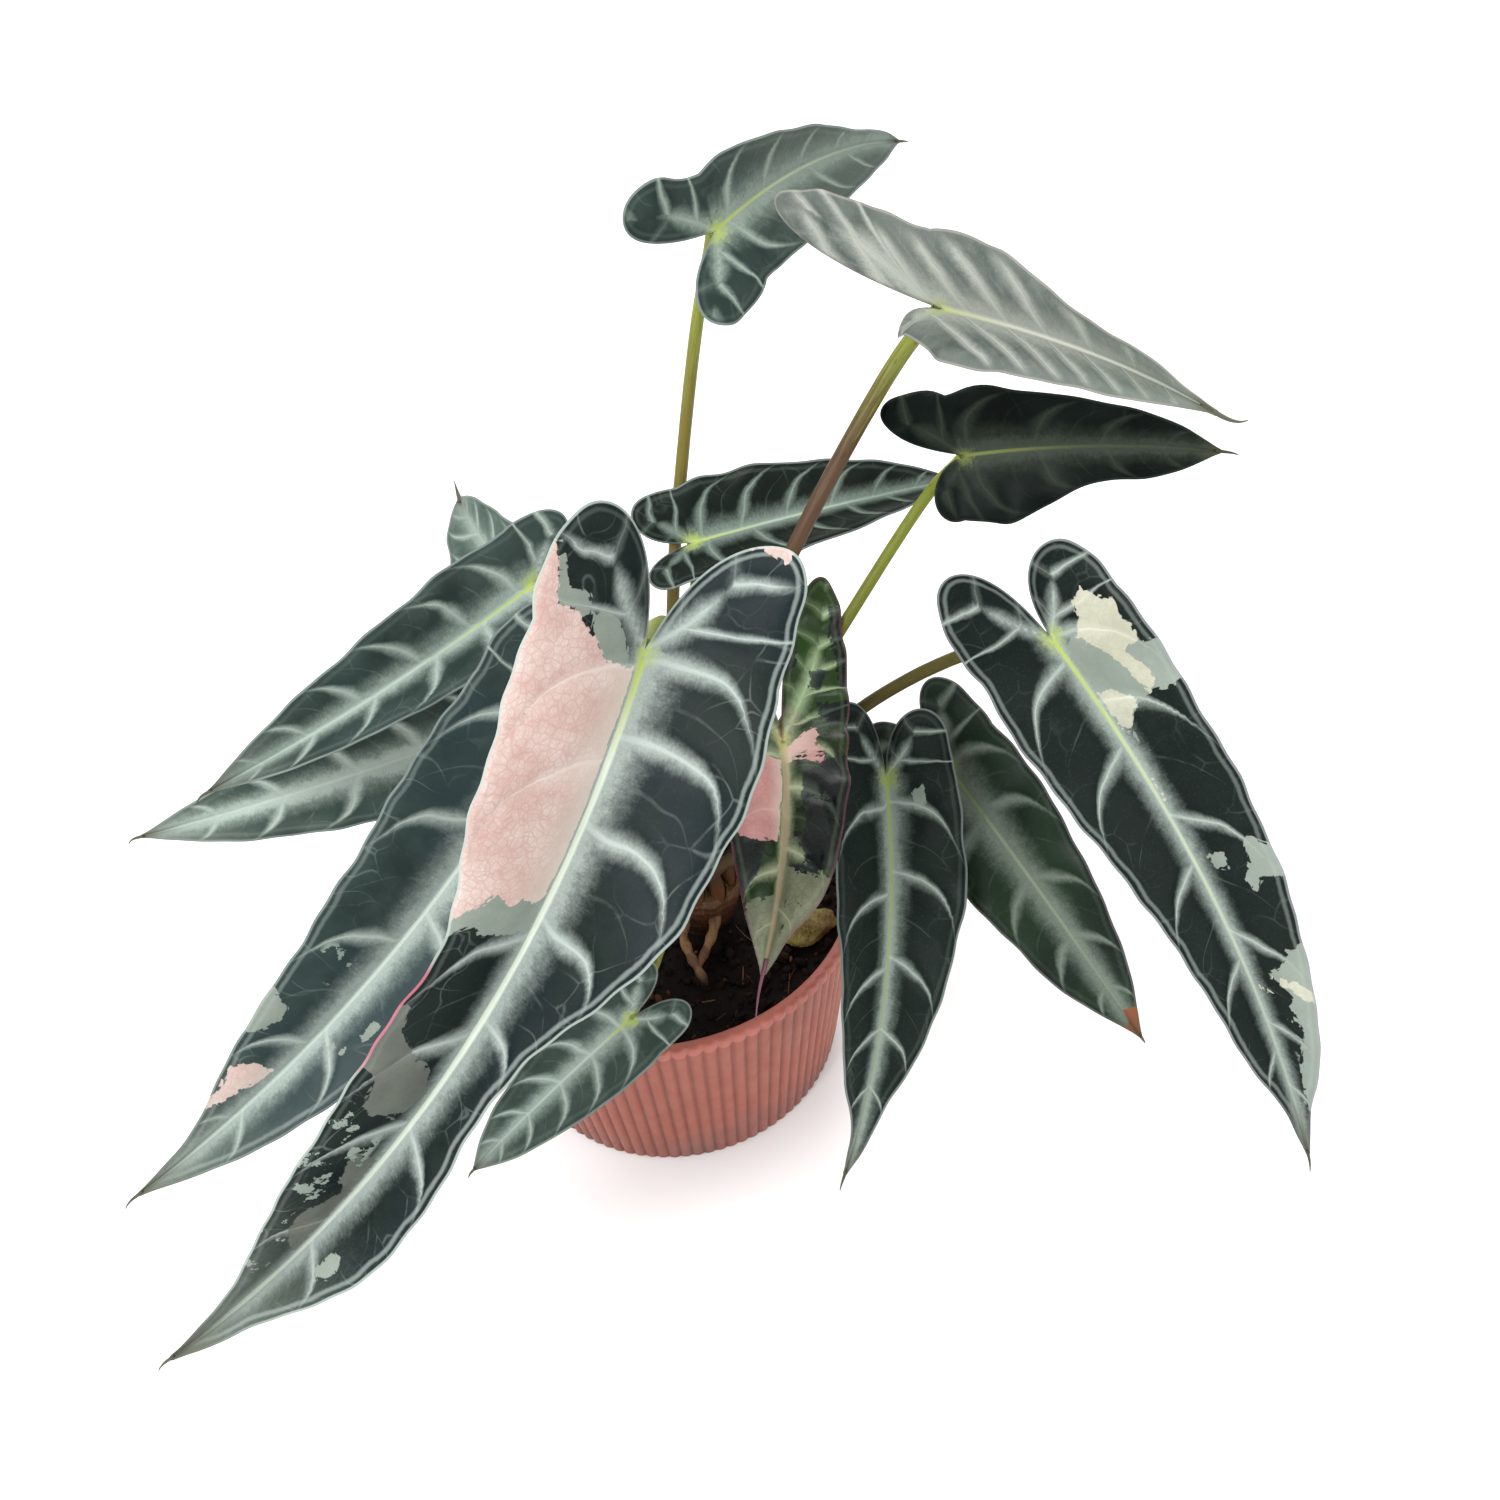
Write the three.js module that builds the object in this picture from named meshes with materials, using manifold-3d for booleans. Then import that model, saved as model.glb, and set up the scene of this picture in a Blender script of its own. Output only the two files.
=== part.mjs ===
// Variegated bambino alocasia: arrow-shaped leaves on long stalks, rising from a short stem
// in a fluted plastic pot full of soil. Millimetres, +Z up. The origin is the centre of the
// pot's underside, and the front of the plant faces -Y.
import * as THREE from "three";
import { mergeVertices } from "three/addons/utils/BufferGeometryUtils.js";
import Module from "manifold-3d";

// Pot
const potHeight = 72;
const rimRadius = 65;
const baseRadius = 54;
const lipHeight = 4;
const lipStep = 0.8;
const potWall = 1.8;
const potFloor = 2.5;
const ribCount = 88;
const ribDepth = 1.1;
const footChamfer = 1.5;
const drainHoles = 6;
const drainRadius = 4;
const drainCircle = 34;

// Soil and stem
const soilLevel = 64;
const soilLumps = 1.2;
const touchGap = 0.3;
const stemCentre = new THREE.Vector2(15, -6);
const stemRadius = 12.4;
const stemFoot = 44;
const stemTop = 81;
const outerStalks = 9;
const outerStalkCircle = 9.6;
const innerStalks = 5;
const innerStalkCircle = 4.3;
const rootRadius = 1.9;

// Leaves
const bladeThickness = 0.8;
const stalkFootRadius = 2.2;
const stalkRise = 10;
const stalkStep = 12;
const stalkSides = 7;
const halfCurl = THREE.MathUtils.degToRad(-14);
const marginWave = 0.06;
const wavesPerBlade = 4.5;
const tipWidth = 0.012;
const arcGain = 1.3;
const lobeRoundness = 2.6;

// Half width of a blade, as a share of its widest, at shares of the way from junction to tip
const outlineStations = [0, 0.1, 0.25, 0.4, 0.55, 0.7, 0.82, 0.92, 0.97, 1];
const outlineWidths = [0.94, 1, 0.97, 0.87, 0.74, 0.57, 0.38, 0.17, 0.06, tipWidth];

// Each leaf: where the stalk meets the blade, the blade's tip and the way its upper side faces.
// halfWidth, lobes (how far the two lobes reach back) and bow (how far the midrib bends towards
// the upper side and towards the right half) are lengths. spread opens each lobe outwards. fold
// and lift are the degrees by which each half and each lobe rises, and twist is how far the blade
// has turned about its midrib at the tip. swells are places where a margin bulges or draws in:
// half, place and reach as shares of the blade's length, and the change as a share of its width.
// The first number of a pair is for the left half, seen from above with the tip pointing away.
// foot is the stalk's place on the stem: ring and slot. path holds the points that the stalk
// passes on its way up, and topRadius is its radius at the blade.
const leaves = [
  {
    name: "front", junction: [13, -61, 217], tip: [-124, -145, 78], face: [0.13, -0.9, 0.42],
    halfWidth: 35, lobes: [30, 28], spread: [0.5, 0.5], fold: [34, 38], twist: -16,
    swells: [[0, -0.12, 0.08, -0.1], [0, 0.48, 0.17, -0.5], [0, 0.88, 0.08, -0.25],
      [1, 0, 0.08, 0.14], [1, 0.34, 0.09, -0.18], [1, 0.45, 0.2, -0.1],
      [1, 0.9, 0.12, -0.35]],
    bow: [10, -15], lift: [0, 0], rows: [5, 14], columns: 4,
    foot: ["inner", 3], topRadius: 2.4,
    path: [[14, -8, 138], [17, -15, 182], [15, -43, 209]],
  },
  {
    name: "left_lower", junction: [-15, -34, 176], tip: [-130, -114, 103],
    face: [0.04, -0.71, 0.71], halfWidth: 26, lobes: [28, 26], spread: [0.15, 0.15],
    swells: [[1, 0.9, 0.12, -0.45]],
    fold: [22, 28], bow: [6, -9], lift: [0, 0], rows: [4, 11], columns: 3,
    foot: ["outer", 5], topRadius: 2,
    path: [[3, -15, 125], [-6, -22, 155], [-12, -29, 169]],
  },
  {
    name: "left_upper", junction: [-20, 12, 185], tip: [-110, -31, 160],
    face: [0.07, -0.61, 0.79], halfWidth: 18, swells: [], lobes: [16, 18], spread: [0.15, 0.15],
    fold: [34, 34], bow: [6, -4], lift: [0, 0], rows: [4, 9], columns: 3,
    foot: ["inner", 2], topRadius: 1.8,
    path: [[7, -2, 130], [-6, 7, 163], [-17, 13, 178]],
  },
  {
    name: "left_middle", junction: [-36, 2, 145], tip: [-137, -23, 139],
    face: [0.16, -0.8, 0.58], halfWidth: 17, swells: [], lobes: [18, 18], spread: [0.15, 0.15],
    fold: [20, 20], bow: [5, -1], lift: [0, 0], rows: [4, 9], columns: 3,
    foot: ["outer", 4], topRadius: 1.7,
    path: [[-7, -3, 110], [-23, 4, 131], [-33, 5, 139]],
  },
  {
    name: "back_left", junction: [-24, 37, 160], tip: [-48, 81, 171],
    face: [-0.55, -0.47, 0.69], halfWidth: 16, swells: [], lobes: [16, 16], spread: [0.15, 0.15],
    fold: [20, 20], bow: [5, 0], lift: [0, 0], rows: [4, 8], columns: 3,
    foot: ["outer", 3], topRadius: 1.6,
    path: [[1, 11, 116], [-11, 27, 142], [-20, 36, 152]],
  },
  {
    name: "back_middle", junction: [24, 35, 177], tip: [103, 50, 179],
    face: [0.08, -0.54, 0.83], halfWidth: 17.5, swells: [], lobes: [15, 14], spread: [0.3, 0.3],
    fold: [30, 30], bow: [5, 1], lift: [0, 0], rows: [4, 9], columns: 3,
    foot: ["inner", 1], topRadius: 1.8,
    path: [[18, 6, 126], [22, 24, 158], [24, 33, 169]],
  },
  {
    name: "back_top", junction: [39, 50, 262], tip: [95, 107, 257],
    face: [0.64, -0.58, 0.5], halfWidth: 17.5, lobes: [27, 21], spread: [1.3, 0.7],
    swells: [[0, -0.2, 0.1, 0.2], [0, 0.08, 0.1, 0.05], [0, 0.4, 0.25, -0.2],
      [0, 0.75, 0.2, -0.45], [1, -0.15, 0.2, 0.15]],
    fold: [30, 20], bow: [3, -5], lift: [0, 0], rows: [4, 9], columns: 3,
    foot: ["outer", 2], topRadius: 1.9,
    path: [[13, 20, 132], [18, 38, 170], [23, 48, 194], [32, 53, 236]],
  },
  {
    name: "right_top", junction: [93, 23, 248], tip: [140, -51, 256],
    face: [-0.69, -0.37, 0.63], halfWidth: 23, lobes: [50, 9],
    swells: [[0, 0.62, 0.3, -0.5], [0, 0.9, 0.1, -0.35], [1, 0, 0.15, -0.3],
      [1, 0.5, 0.3, -0.1]],
    spread: [0.8, 0.15], fold: [46, 46], bow: [-4, -3], lift: [25, 35], rows: [5, 10],
    columns: 3, foot: ["outer", 1], topRadius: 2.6,
    path: [[28, 5, 135], [49, 11, 183], [76, 28, 221], [87, 31, 236]],
  },
  {
    name: "right_upper", junction: [99, 19, 207], tip: [163, 2, 211],
    face: [-0.26, -0.9, 0.35], halfWidth: 17.5, lobes: [20, 9], spread: [0.8, 0.3],
    swells: [[0, -0.1, 0.12, 0.12], [0, 0.12, 0.12, 0.12], [1, 0.15, 0.15, 0.1],
      [1, 0.55, 0.2, -0.3]],
    fold: [20, 20], bow: [5, -3], lift: [0, 0], rows: [4, 8], columns: 3,
    foot: ["inner", 0], topRadius: 1.8,
    path: [[37, -1, 122], [65, 12, 161], [91, 27, 191]],
  },
  {
    name: "right_large", junction: [115, -23, 176], tip: [174, -109, 55],
    face: [-0.1, -0.83, 0.54], halfWidth: 26, lobes: [20, 28], spread: [0.15, 0.15],
    swells: [[0, 0.2, 0.15, -0.08], [0, 0.92, 0.06, -0.3], [1, 0.6, 0.35, -0.18],
      [1, 0.9, 0.07, -0.3]],
    fold: [34, 25], bow: [10, -7], lift: [0, 0], rows: [4, 12], columns: 3,
    foot: ["outer", 0], topRadius: 2,
    path: [[42, -2, 113], [66, -1, 138], [92, -6, 158], [106, -14, 168]],
  },
  {
    name: "centre_near", junction: [71.5, -19, 128], tip: [48, -90, 38],
    face: [0.1, -0.79, 0.6], halfWidth: 21, lobes: [18, 21], spread: [0.15, 0.15],
    swells: [[0, 0.3, 0.15, 0.08], [0, 0.82, 0.15, -0.35], [1, 0.88, 0.1, -0.5]],
    fold: [30, 30], bow: [8, -4.5], lift: [0, 0], rows: [4, 9], columns: 3,
    foot: ["outer", 7], topRadius: 1.8,
    path: [[32, -15, 101], [51, -15, 117], [65, -15, 124]],
  },
  {
    name: "centre_far", junction: [91, -8, 119], tip: [137, -72, 65],
    face: [-0.18, -0.71, 0.68], halfWidth: 20, lobes: [24, 24], spread: [0.15, 0.15],
    swells: [[1, 0.75, 0.15, 0.1]],
    fold: [18, 10], bow: [8, -1], lift: [0, 0], rows: [4, 9], columns: 3,
    foot: ["outer", 8], topRadius: 1.7,
    path: [[39, -7, 94], [62, -3, 107], [82, -3, 114]],
  },
  {
    name: "young", junction: [43, -25, 153], tip: [31, -90, 133], face: [0.22, -0.27, 0.94],
    halfWidth: 20, lobes: [53, 22], spread: [0.3, 0.15],
    swells: [[0, 0.1, 0.12, -0.12], [0, 0.35, 0.2, -0.14], [0, 0.87, 0.1, -0.3]],
    fold: [15, 15], bow: [6, -2], lift: [42, 0], rows: [5, 9], columns: 3,
    foot: ["inner", 4], topRadius: 1.8,
    path: [[19, -11, 108], [30, -16, 134], [39, -22, 145]],
  },
  {
    name: "front_low", junction: [-7, -67, 92], tip: [-55, -91, 63],
    face: [-0.04, -0.74, 0.68], halfWidth: 14, swells: [], lobes: [15, 15], spread: [0.2, 0.15],
    fold: [20, 20], bow: [6, 1], lift: [0, 0], rows: [3, 7], columns: 3,
    foot: ["outer", 6], topRadius: 1.4,
    path: [[10, -26, 98], [5, -43, 100], [-2, -58, 94]],
  },
];

const wasm = await Module();
wasm.setup();

const vector = (p) => new THREE.Vector3(p[0], p[1], p[2]);

function mesh(name, geometry, colour, roughness) {
  const material = new THREE.MeshStandardMaterial({ color: colour, roughness, metalness: 0 });
  const piece = new THREE.Mesh(geometry, material);
  piece.name = name;
  return piece;
}

function meshGeometry(points, triangles) {
  const geometry = new THREE.BufferGeometry();
  const numbers = points.flatMap((p) => p.toArray());
  geometry.setAttribute("position", new THREE.Float32BufferAttribute(numbers, 3));
  geometry.setIndex(triangles.flat());
  geometry.computeVertexNormals();
  return geometry;
}

function toSolid(geometry) {
  const bare = geometry.clone();
  bare.deleteAttribute("normal");
  bare.deleteAttribute("uv");
  const merged = mergeVertices(bare, 1e-4);
  return new wasm.Manifold(new wasm.Mesh({
    numProp: 3,
    vertProperties: new Float32Array(merged.attributes.position.array),
    triVerts: new Uint32Array(merged.index.array),
  }));
}

function fromSolid(solid) {
  const shape = solid.getMesh();
  const geometry = new THREE.BufferGeometry();
  const numbers = new Float32Array(shape.vertProperties);
  geometry.setAttribute("position", new THREE.BufferAttribute(numbers, 3));
  geometry.setIndex(Array.from(shape.triVerts));
  geometry.computeVertexNormals();
  return geometry;
}

// A closed skin through rings of points. Neighbouring rings have the same count, or one has a
// whole number of times the points of the other. The first and last ring close on their middle.
function skinRings(rings) {
  const points = rings.flat();
  const triangles = [];
  const starts = [];
  let start = 0;
  for (const ring of rings) {
    starts.push(start);
    start += ring.length;
  }
  for (let k = 0; k + 1 < rings.length; k += 1) {
    const lower = rings[k].length;
    const upper = rings[k + 1].length;
    const fine = Math.max(lower, upper);
    for (let i = 0; i < fine; i += 1) {
      const a = starts[k] + Math.floor((i * lower) / fine);
      const b = starts[k] + (Math.floor(((i + 1) * lower) / fine) % lower);
      const c = starts[k + 1] + Math.floor((i * upper) / fine);
      const d = starts[k + 1] + (Math.floor(((i + 1) * upper) / fine) % upper);
      if (a !== b) triangles.push([a, b, c]);
      if (c !== d) triangles.push([b, d, c]);
    }
  }
  const total = (ring) => ring.reduce((sum, p) => sum.add(p), new THREE.Vector3());
  const middle = (ring) => total(ring).divideScalar(ring.length);
  const first = points.push(middle(rings[0])) - 1;
  const last = points.push(middle(rings[rings.length - 1])) - 1;
  const firstCount = rings[0].length;
  const lastCount = rings[rings.length - 1].length;
  const lastStart = starts[rings.length - 1];
  for (let i = 0; i < firstCount; i += 1) triangles.push([first, (i + 1) % firstCount, i]);
  for (let i = 0; i < lastCount; i += 1) {
    triangles.push([last, lastStart + i, lastStart + ((i + 1) % lastCount)]);
  }
  return meshGeometry(points, triangles);
}

// A level ring of points; ribs above zero cuts every second point in by that depth.
function levelRing(count, radius, z, ribs = 0) {
  return Array.from({ length: count }, (_, i) => {
    const angle = (i / count) * 2 * Math.PI;
    const r = radius - (i % 2) * ribs;
    return new THREE.Vector3(r * Math.cos(angle), r * Math.sin(angle), z);
  });
}

function fluted(radius, z) {
  return levelRing(2 * ribCount, radius, z, ribDepth);
}

const innerSides = ribCount / 2;
const potSlope = (rimRadius - lipStep - baseRadius) / potHeight;

// Inside radius of the pot's wall, at the corners of its inner polygon
function potInside(z) {
  return baseRadius + potSlope * z - ribDepth - potWall;
}

function potGeometry() {
  const lipFoot = potHeight - lipHeight;
  const body = toSolid(skinRings([
    levelRing(2 * ribCount, baseRadius - footChamfer, 0),
    fluted(baseRadius, footChamfer),
    fluted(baseRadius + potSlope * lipFoot, lipFoot),
    fluted(rimRadius, lipFoot + lipStep),
    fluted(rimRadius, potHeight),
    levelRing(innerSides, potInside(potHeight), potHeight),
    levelRing(innerSides, potInside(potFloor), potFloor),
  ]));
  const holes = Array.from({ length: drainHoles }, (_, i) => {
    const angle = (i / drainHoles) * 2 * Math.PI;
    const hole = new THREE.CylinderGeometry(drainRadius, drainRadius, 3 * potFloor, 8);
    hole.rotateX(Math.PI / 2);
    hole.translate(drainCircle * Math.cos(angle), drainCircle * Math.sin(angle), 0);
    return toSolid(hole);
  });
  return fromSolid(holes.reduce((solid, hole) => solid.subtract(hole), body));
}

// Rings of a round bar along a curve
function barRings(curve, steps, sides, radiusAt) {
  const frames = curve.computeFrenetFrames(steps, false);
  return Array.from({ length: steps + 1 }, (_, i) => {
    const centre = curve.getPointAt(i / steps);
    const radius = radiusAt(i / steps);
    return Array.from({ length: sides }, (_unused, k) => {
      const angle = (k / sides) * 2 * Math.PI;
      return centre.clone()
        .addScaledVector(frames.normals[i], radius * Math.cos(angle))
        .addScaledVector(frames.binormals[i], radius * Math.sin(angle));
    });
  });
}

// Short upright stem with a swollen collar, and two stout roots that leave its front and dip
// into the soil. grow fattens everything, for the hole that the soil keeps round it.
function stemSolid(grow) {
  const profile = [
    [stemRadius * 0.72, stemFoot],
    [stemRadius * 0.86, soilLevel - 4],
    [stemRadius * 0.8, soilLevel + 1],
    [stemRadius * 0.88, soilLevel + 6],
    [stemRadius, stemTop - 4],
    [stemRadius, stemTop],
  ];
  const end = grow > 0 ? 1 : 0;
  const rings = profile.map(([radius, z], i) => {
    const drop = i === 0 ? -grow : 0;
    const raise = i === profile.length - 1 ? end : 0;
    const ring = levelRing(16, radius + grow, z + drop + raise);
    return ring.map((p) => p.add(new THREE.Vector3(stemCentre.x, stemCentre.y, 0)));
  });
  const rootPaths = [
    [[11, -12, 73], [9, -21, 71], [10, -29, 66], [11, -33, 54]],
    [[18, -12, 72], [17, -20, 70], [13, -27, 65], [12, -28, 55]],
  ];
  const roots = rootPaths.map((path) => {
    path[path.length - 1][2] -= 2 * grow;
    const curve = new THREE.CatmullRomCurve3(path.map(vector));
    return toSolid(skinRings(barRings(curve, 6, 6, (t) => rootRadius * (1 - 0.25 * t) + grow)));
  });
  return roots.reduce((solid, root) => solid.add(root), toSolid(skinRings(rings)));
}

// Height of the soil's low lumps: two crossed waves, nothing at the wall
function soilHeight(x, y) {
  const radius = Math.hypot(x, y);
  const fade = Math.min(1, Math.max(0, (potInside(soilLevel) - radius) / 10));
  return soilLevel + fade * soilLumps * (Math.sin(0.19 * x + 1) * Math.cos(0.23 * y) - 0.6);
}

// A piece of bark lying on the soil: a flattened, uneven pebble with a level underside
const barkCentre = new THREE.Vector3(47, -18, soilLevel + 1.6);
const barkHalf = new THREE.Vector3(9, 5.5, 3.2);

function barkGeometry(grow) {
  const shape = new THREE.IcosahedronGeometry(1, 1);
  const position = shape.attributes.position;
  for (let i = 0; i < position.count; i += 1) {
    const p = new THREE.Vector3().fromBufferAttribute(position, i);
    const uneven = 1 + 0.12 * Math.sin(5 * p.x + 3 * p.y) * Math.cos(4 * p.z);
    p.multiplyScalar(uneven);
    p.z = Math.max(p.z, -0.75);
    p.set(p.x * (barkHalf.x + grow), p.y * (barkHalf.y + grow), p.z * (barkHalf.z + grow));
    p.applyAxisAngle(new THREE.Vector3(0, 0, 1), 0.5).add(barkCentre);
    position.setXYZ(i, p.x, p.y, p.z);
  }
  return shape;
}

function soilGeometry() {
  const ringAt = (radius, z) => levelRing(innerSides, radius, z);
  const top = [1, 0.8, 0.6, 0.4, 0.2].map((share) => {
    const ring = ringAt((potInside(soilLevel) - touchGap) * share, soilLevel);
    return ring.map((p) => p.setZ(soilHeight(p.x, p.y)));
  });
  const foot = potFloor + touchGap;
  const body = toSolid(skinRings([ringAt(potInside(foot) - touchGap, foot), ...top]));
  return fromSolid(body.subtract(stemSolid(touchGap)).subtract(toSolid(barkGeometry(touchGap))));
}

// Smooth curve through the outline's stations, by cubic Hermite pieces
function outlineShare(t) {
  const last = outlineStations.length - 1;
  let i = 0;
  while (i < last - 1 && t > outlineStations[i + 1]) i += 1;
  const slope = (k) => {
    const a = Math.max(0, k - 1);
    const b = Math.min(last, k + 1);
    return (outlineWidths[b] - outlineWidths[a]) / (outlineStations[b] - outlineStations[a]);
  };
  const h = outlineStations[i + 1] - outlineStations[i];
  const s = (t - outlineStations[i]) / h;
  const rise = outlineWidths[i + 1] - outlineWidths[i];
  const early = (slope(i) * h - rise) * (1 - s) ** 2 * s;
  const late = (rise - slope(i + 1) * h) * s ** 2 * (1 - s);
  return outlineWidths[i] + rise * s + early + late;
}

// Works out a leaf's fixed directions. along runs from the junction to the tip, up is the way
// the upper side faces, and across points to the right half.
function prepare(leaf) {
  const junction = vector(leaf.junction);
  const tip = vector(leaf.tip);
  const along = tip.clone().sub(junction).normalize();
  const face = vector(leaf.face);
  const up = face.addScaledVector(along, -face.dot(along)).normalize();
  const across = new THREE.Vector3().crossVectors(along, up);
  const chord = junction.distanceTo(tip);
  const bend = leaf.bow[0] ** 2 + leaf.bow[1] ** 2;
  const handle = junction.clone().add(tip).multiplyScalar(0.5)
    .addScaledVector(up, 2 * leaf.bow[0]).addScaledVector(across, 2 * leaf.bow[1]);
  const bladeLength = chord + (arcGain * bend) / chord;
  return { ...leaf, junction, tip, across, handle, bladeLength };
}

// Distance of the inner and outer edge from the midrib, y mm towards the tip. Behind the
// junction, where y is below zero, each lobe is a rounded tongue that opens outwards.
function edges(leaf, half, y) {
  const share = Math.min(1, Math.max(0, y / leaf.bladeLength));
  let swell = 0;
  for (const [side, place, reachShare, amount] of leaf.swells) {
    const away = (y / leaf.bladeLength - place) / reachShare;
    if (side === half) swell += amount * Math.exp(-(away ** 2));
  }
  if (y >= 0) return [0, leaf.halfWidth * outlineShare(share) * (1 + swell)];
  const back = Math.min(1, -y / leaf.lobes[half]);
  const rootWidth = leaf.halfWidth * outlineWidths[0];
  const middle = 0.5 * rootWidth * (1 + leaf.spread[half] * back);
  const reach = 0.5 * rootWidth * Math.sqrt(Math.max(0, 1 - back ** lobeRoundness));
  return [Math.max(0, middle - reach), middle + reach * (1 + 2 * swell)];
}

// Point and square directions on the midrib, a parabola, at a share of the way to the tip
function midribAt(leaf, u) {
  const point = leaf.junction.clone().multiplyScalar((1 - u) ** 2)
    .addScaledVector(leaf.handle, 2 * u * (1 - u)).addScaledVector(leaf.tip, u * u);
  const heading = leaf.handle.clone().sub(leaf.junction).multiplyScalar(1 - u)
    .addScaledVector(leaf.tip.clone().sub(leaf.handle), u).normalize();
  const sideways = leaf.across.clone();
  const across = sideways.addScaledVector(heading, -heading.dot(sideways)).normalize();
  return { point, heading, across, up: new THREE.Vector3().crossVectors(across, heading) };
}

// Point of the blade's middle surface. Lobes lift round the junction, and each half rises from
// the midrib, curls down towards its margin and waves along it.
function bladePoint(leaf, half, x, y) {
  const share = Math.min(1, Math.max(0, y / leaf.bladeLength));
  const { point, heading, across, up } = midribAt(leaf, share);
  const roll = THREE.MathUtils.degToRad(leaf.twist ?? 0) * share;
  across.applyAxisAngle(heading, -roll);
  up.applyAxisAngle(heading, -roll);
  if (y < 0) {
    const lobe = leaf.lobes[half];
    const turn = Math.max(1e-4, THREE.MathUtils.degToRad(leaf.lift[half])) / lobe;
    const angle = turn * Math.min(lobe, -y);
    point.addScaledVector(heading, -Math.sin(angle) / turn)
      .addScaledVector(up, (1 - Math.cos(angle)) / turn);
    up.multiplyScalar(Math.cos(angle)).addScaledVector(heading, Math.sin(angle));
  }
  const fold = THREE.MathUtils.degToRad(leaf.fold[half]) - halfCurl / 2;
  const curl = halfCurl / leaf.halfWidth;
  const sideways = (Math.sin(fold + curl * x) - Math.sin(fold)) / curl;
  const rise = (Math.cos(fold) - Math.cos(fold + curl * x)) / curl;
  const wave = Math.sin((2 * Math.PI * wavesPerBlade * y) / leaf.bladeLength + half * 2);
  const waved = marginWave * leaf.halfWidth * wave * (x / leaf.halfWidth) ** 2;
  const sign = half === 0 ? -1 : 1;
  return point.addScaledVector(across, sign * sideways).addScaledVector(up, rise + waved);
}

// Middle surface of a blade as points and triangles. Rows run from the lobes' ends to the tip,
// columns from the inner edge to the margin; both halves share the midrib's points.
function bladeSurface(leaf) {
  const points = [];
  const triangles = [];
  const [lobeRows, bladeRows] = leaf.rows;
  const midrib = [];
  for (const half of [0, 1]) {
    let previous = null;
    for (let row = -lobeRows; row <= bladeRows; row += 1) {
      const backing = -leaf.lobes[half] * Math.sin((-row / lobeRows) * (Math.PI / 2));
      const y = row < 0 ? backing : leaf.bladeLength * (row / bladeRows) ** 0.9;
      const [inner, outer] = edges(leaf, half, y);
      const pole = row === -lobeRows || row === bladeRows;
      const current = [];
      for (let column = 0; column <= leaf.columns; column += 1) {
        const onMidrib = row >= 0 && (column === 0 || row === bladeRows);
        const shared = onMidrib && midrib[row] !== undefined;
        if (shared) {
          current.push(midrib[row]);
        } else if (pole && column > 0) {
          current.push(current[0]);
        } else {
          const x = row === bladeRows ? 0 : inner + ((outer - inner) * column) / leaf.columns;
          const index = points.push(bladePoint(leaf, half, x, y)) - 1;
          if (onMidrib) midrib[row] = index;
          current.push(index);
        }
      }
      if (previous) {
        for (let column = 0; column < leaf.columns; column += 1) {
          const [p, q] = [previous[column], previous[column + 1]];
          const [r, s] = [current[column + 1], current[column]];
          for (const [a, b, c] of [[p, q, r], [p, r, s]]) {
            if (a === b || b === c || c === a) continue;
            triangles.push(half === 0 ? [a, c, b] : [a, b, c]);
          }
        }
      }
      previous = current;
    }
  }
  return { points, triangles, midrib };
}

// A blade of even thickness: the middle surface offset both ways along its normals, split into
// the same triangles on both faces, with a rim along its open edges.
function bladeGeometry(leaf) {
  const { points, triangles, midrib } = bladeSurface(leaf);
  const normals = meshGeometry(points, triangles).attributes.normal;
  const crease = 1 / Math.cos(THREE.MathUtils.degToRad((leaf.fold[0] + leaf.fold[1]) / 2));
  const onMidrib = new Set(midrib);
  const shifted = (sign) => points.map((p, i) => {
    const reach = sign * (bladeThickness / 2) * (onMidrib.has(i) ? crease : 1);
    return p.clone().addScaledVector(new THREE.Vector3().fromBufferAttribute(normals, i), reach);
  });
  const count = points.length;
  const all = [...shifted(1), ...shifted(-1)];
  const faces = [...triangles, ...triangles.map(([a, b, c]) => [a + count, c + count, b + count])];
  const used = new Set(triangles.flatMap(([a, b, c]) => [`${a},${b}`, `${b},${c}`, `${c},${a}`]));
  for (const [a, b] of triangles.flatMap(([p, q, r]) => [[p, q], [q, r], [r, p]])) {
    if (used.has(`${b},${a}`)) continue;
    faces.push([b, a, a + count], [b, a + count, b + count]);
  }
  return meshGeometry(all, faces);
}

// Where a leaf's stalk leaves the stem's top: slots of two rings
function stalkFoot(leaf) {
  const [ring, slot] = leaf.foot;
  const count = ring === "outer" ? outerStalks : innerStalks;
  const radius = ring === "outer" ? outerStalkCircle : innerStalkCircle;
  const angle = ((slot + (ring === "outer" ? 0.5 : 0)) / count) * 2 * Math.PI;
  return new THREE.Vector3(
    stemCentre.x + radius * Math.cos(angle),
    stemCentre.y + radius * Math.sin(angle),
    stemTop + touchGap,
  );
}

// A stalk leaves the stem upright and meets the blade a touch gap below its underside, where
// its last ring is cut parallel to the blade
function stalkGeometry(leaf) {
  const { up } = midribAt(leaf, 0);
  const head = leaf.junction.clone().addScaledVector(up, -(bladeThickness * 0.6 + touchGap));
  const foot = stalkFoot(leaf);
  const rise = foot.clone().setZ(foot.z + stalkRise);
  const curve = new THREE.CatmullRomCurve3([foot, rise, ...leaf.path.map(vector), head]);
  const steps = Math.round(curve.getLength() / stalkStep) + 2;
  const radiusAt = (t) => stalkFootRadius + (leaf.topRadius - stalkFootRadius) * t;
  const rings = barRings(curve, steps, stalkSides, radiusAt);
  const entry = head.clone().sub(vector(leaf.path[leaf.path.length - 1])).normalize();
  for (const p of rings[steps]) {
    const slide = head.clone().sub(p).dot(up) / entry.dot(up);
    p.addScaledVector(entry, slide);
  }
  return skinRings(rings);
}

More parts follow.
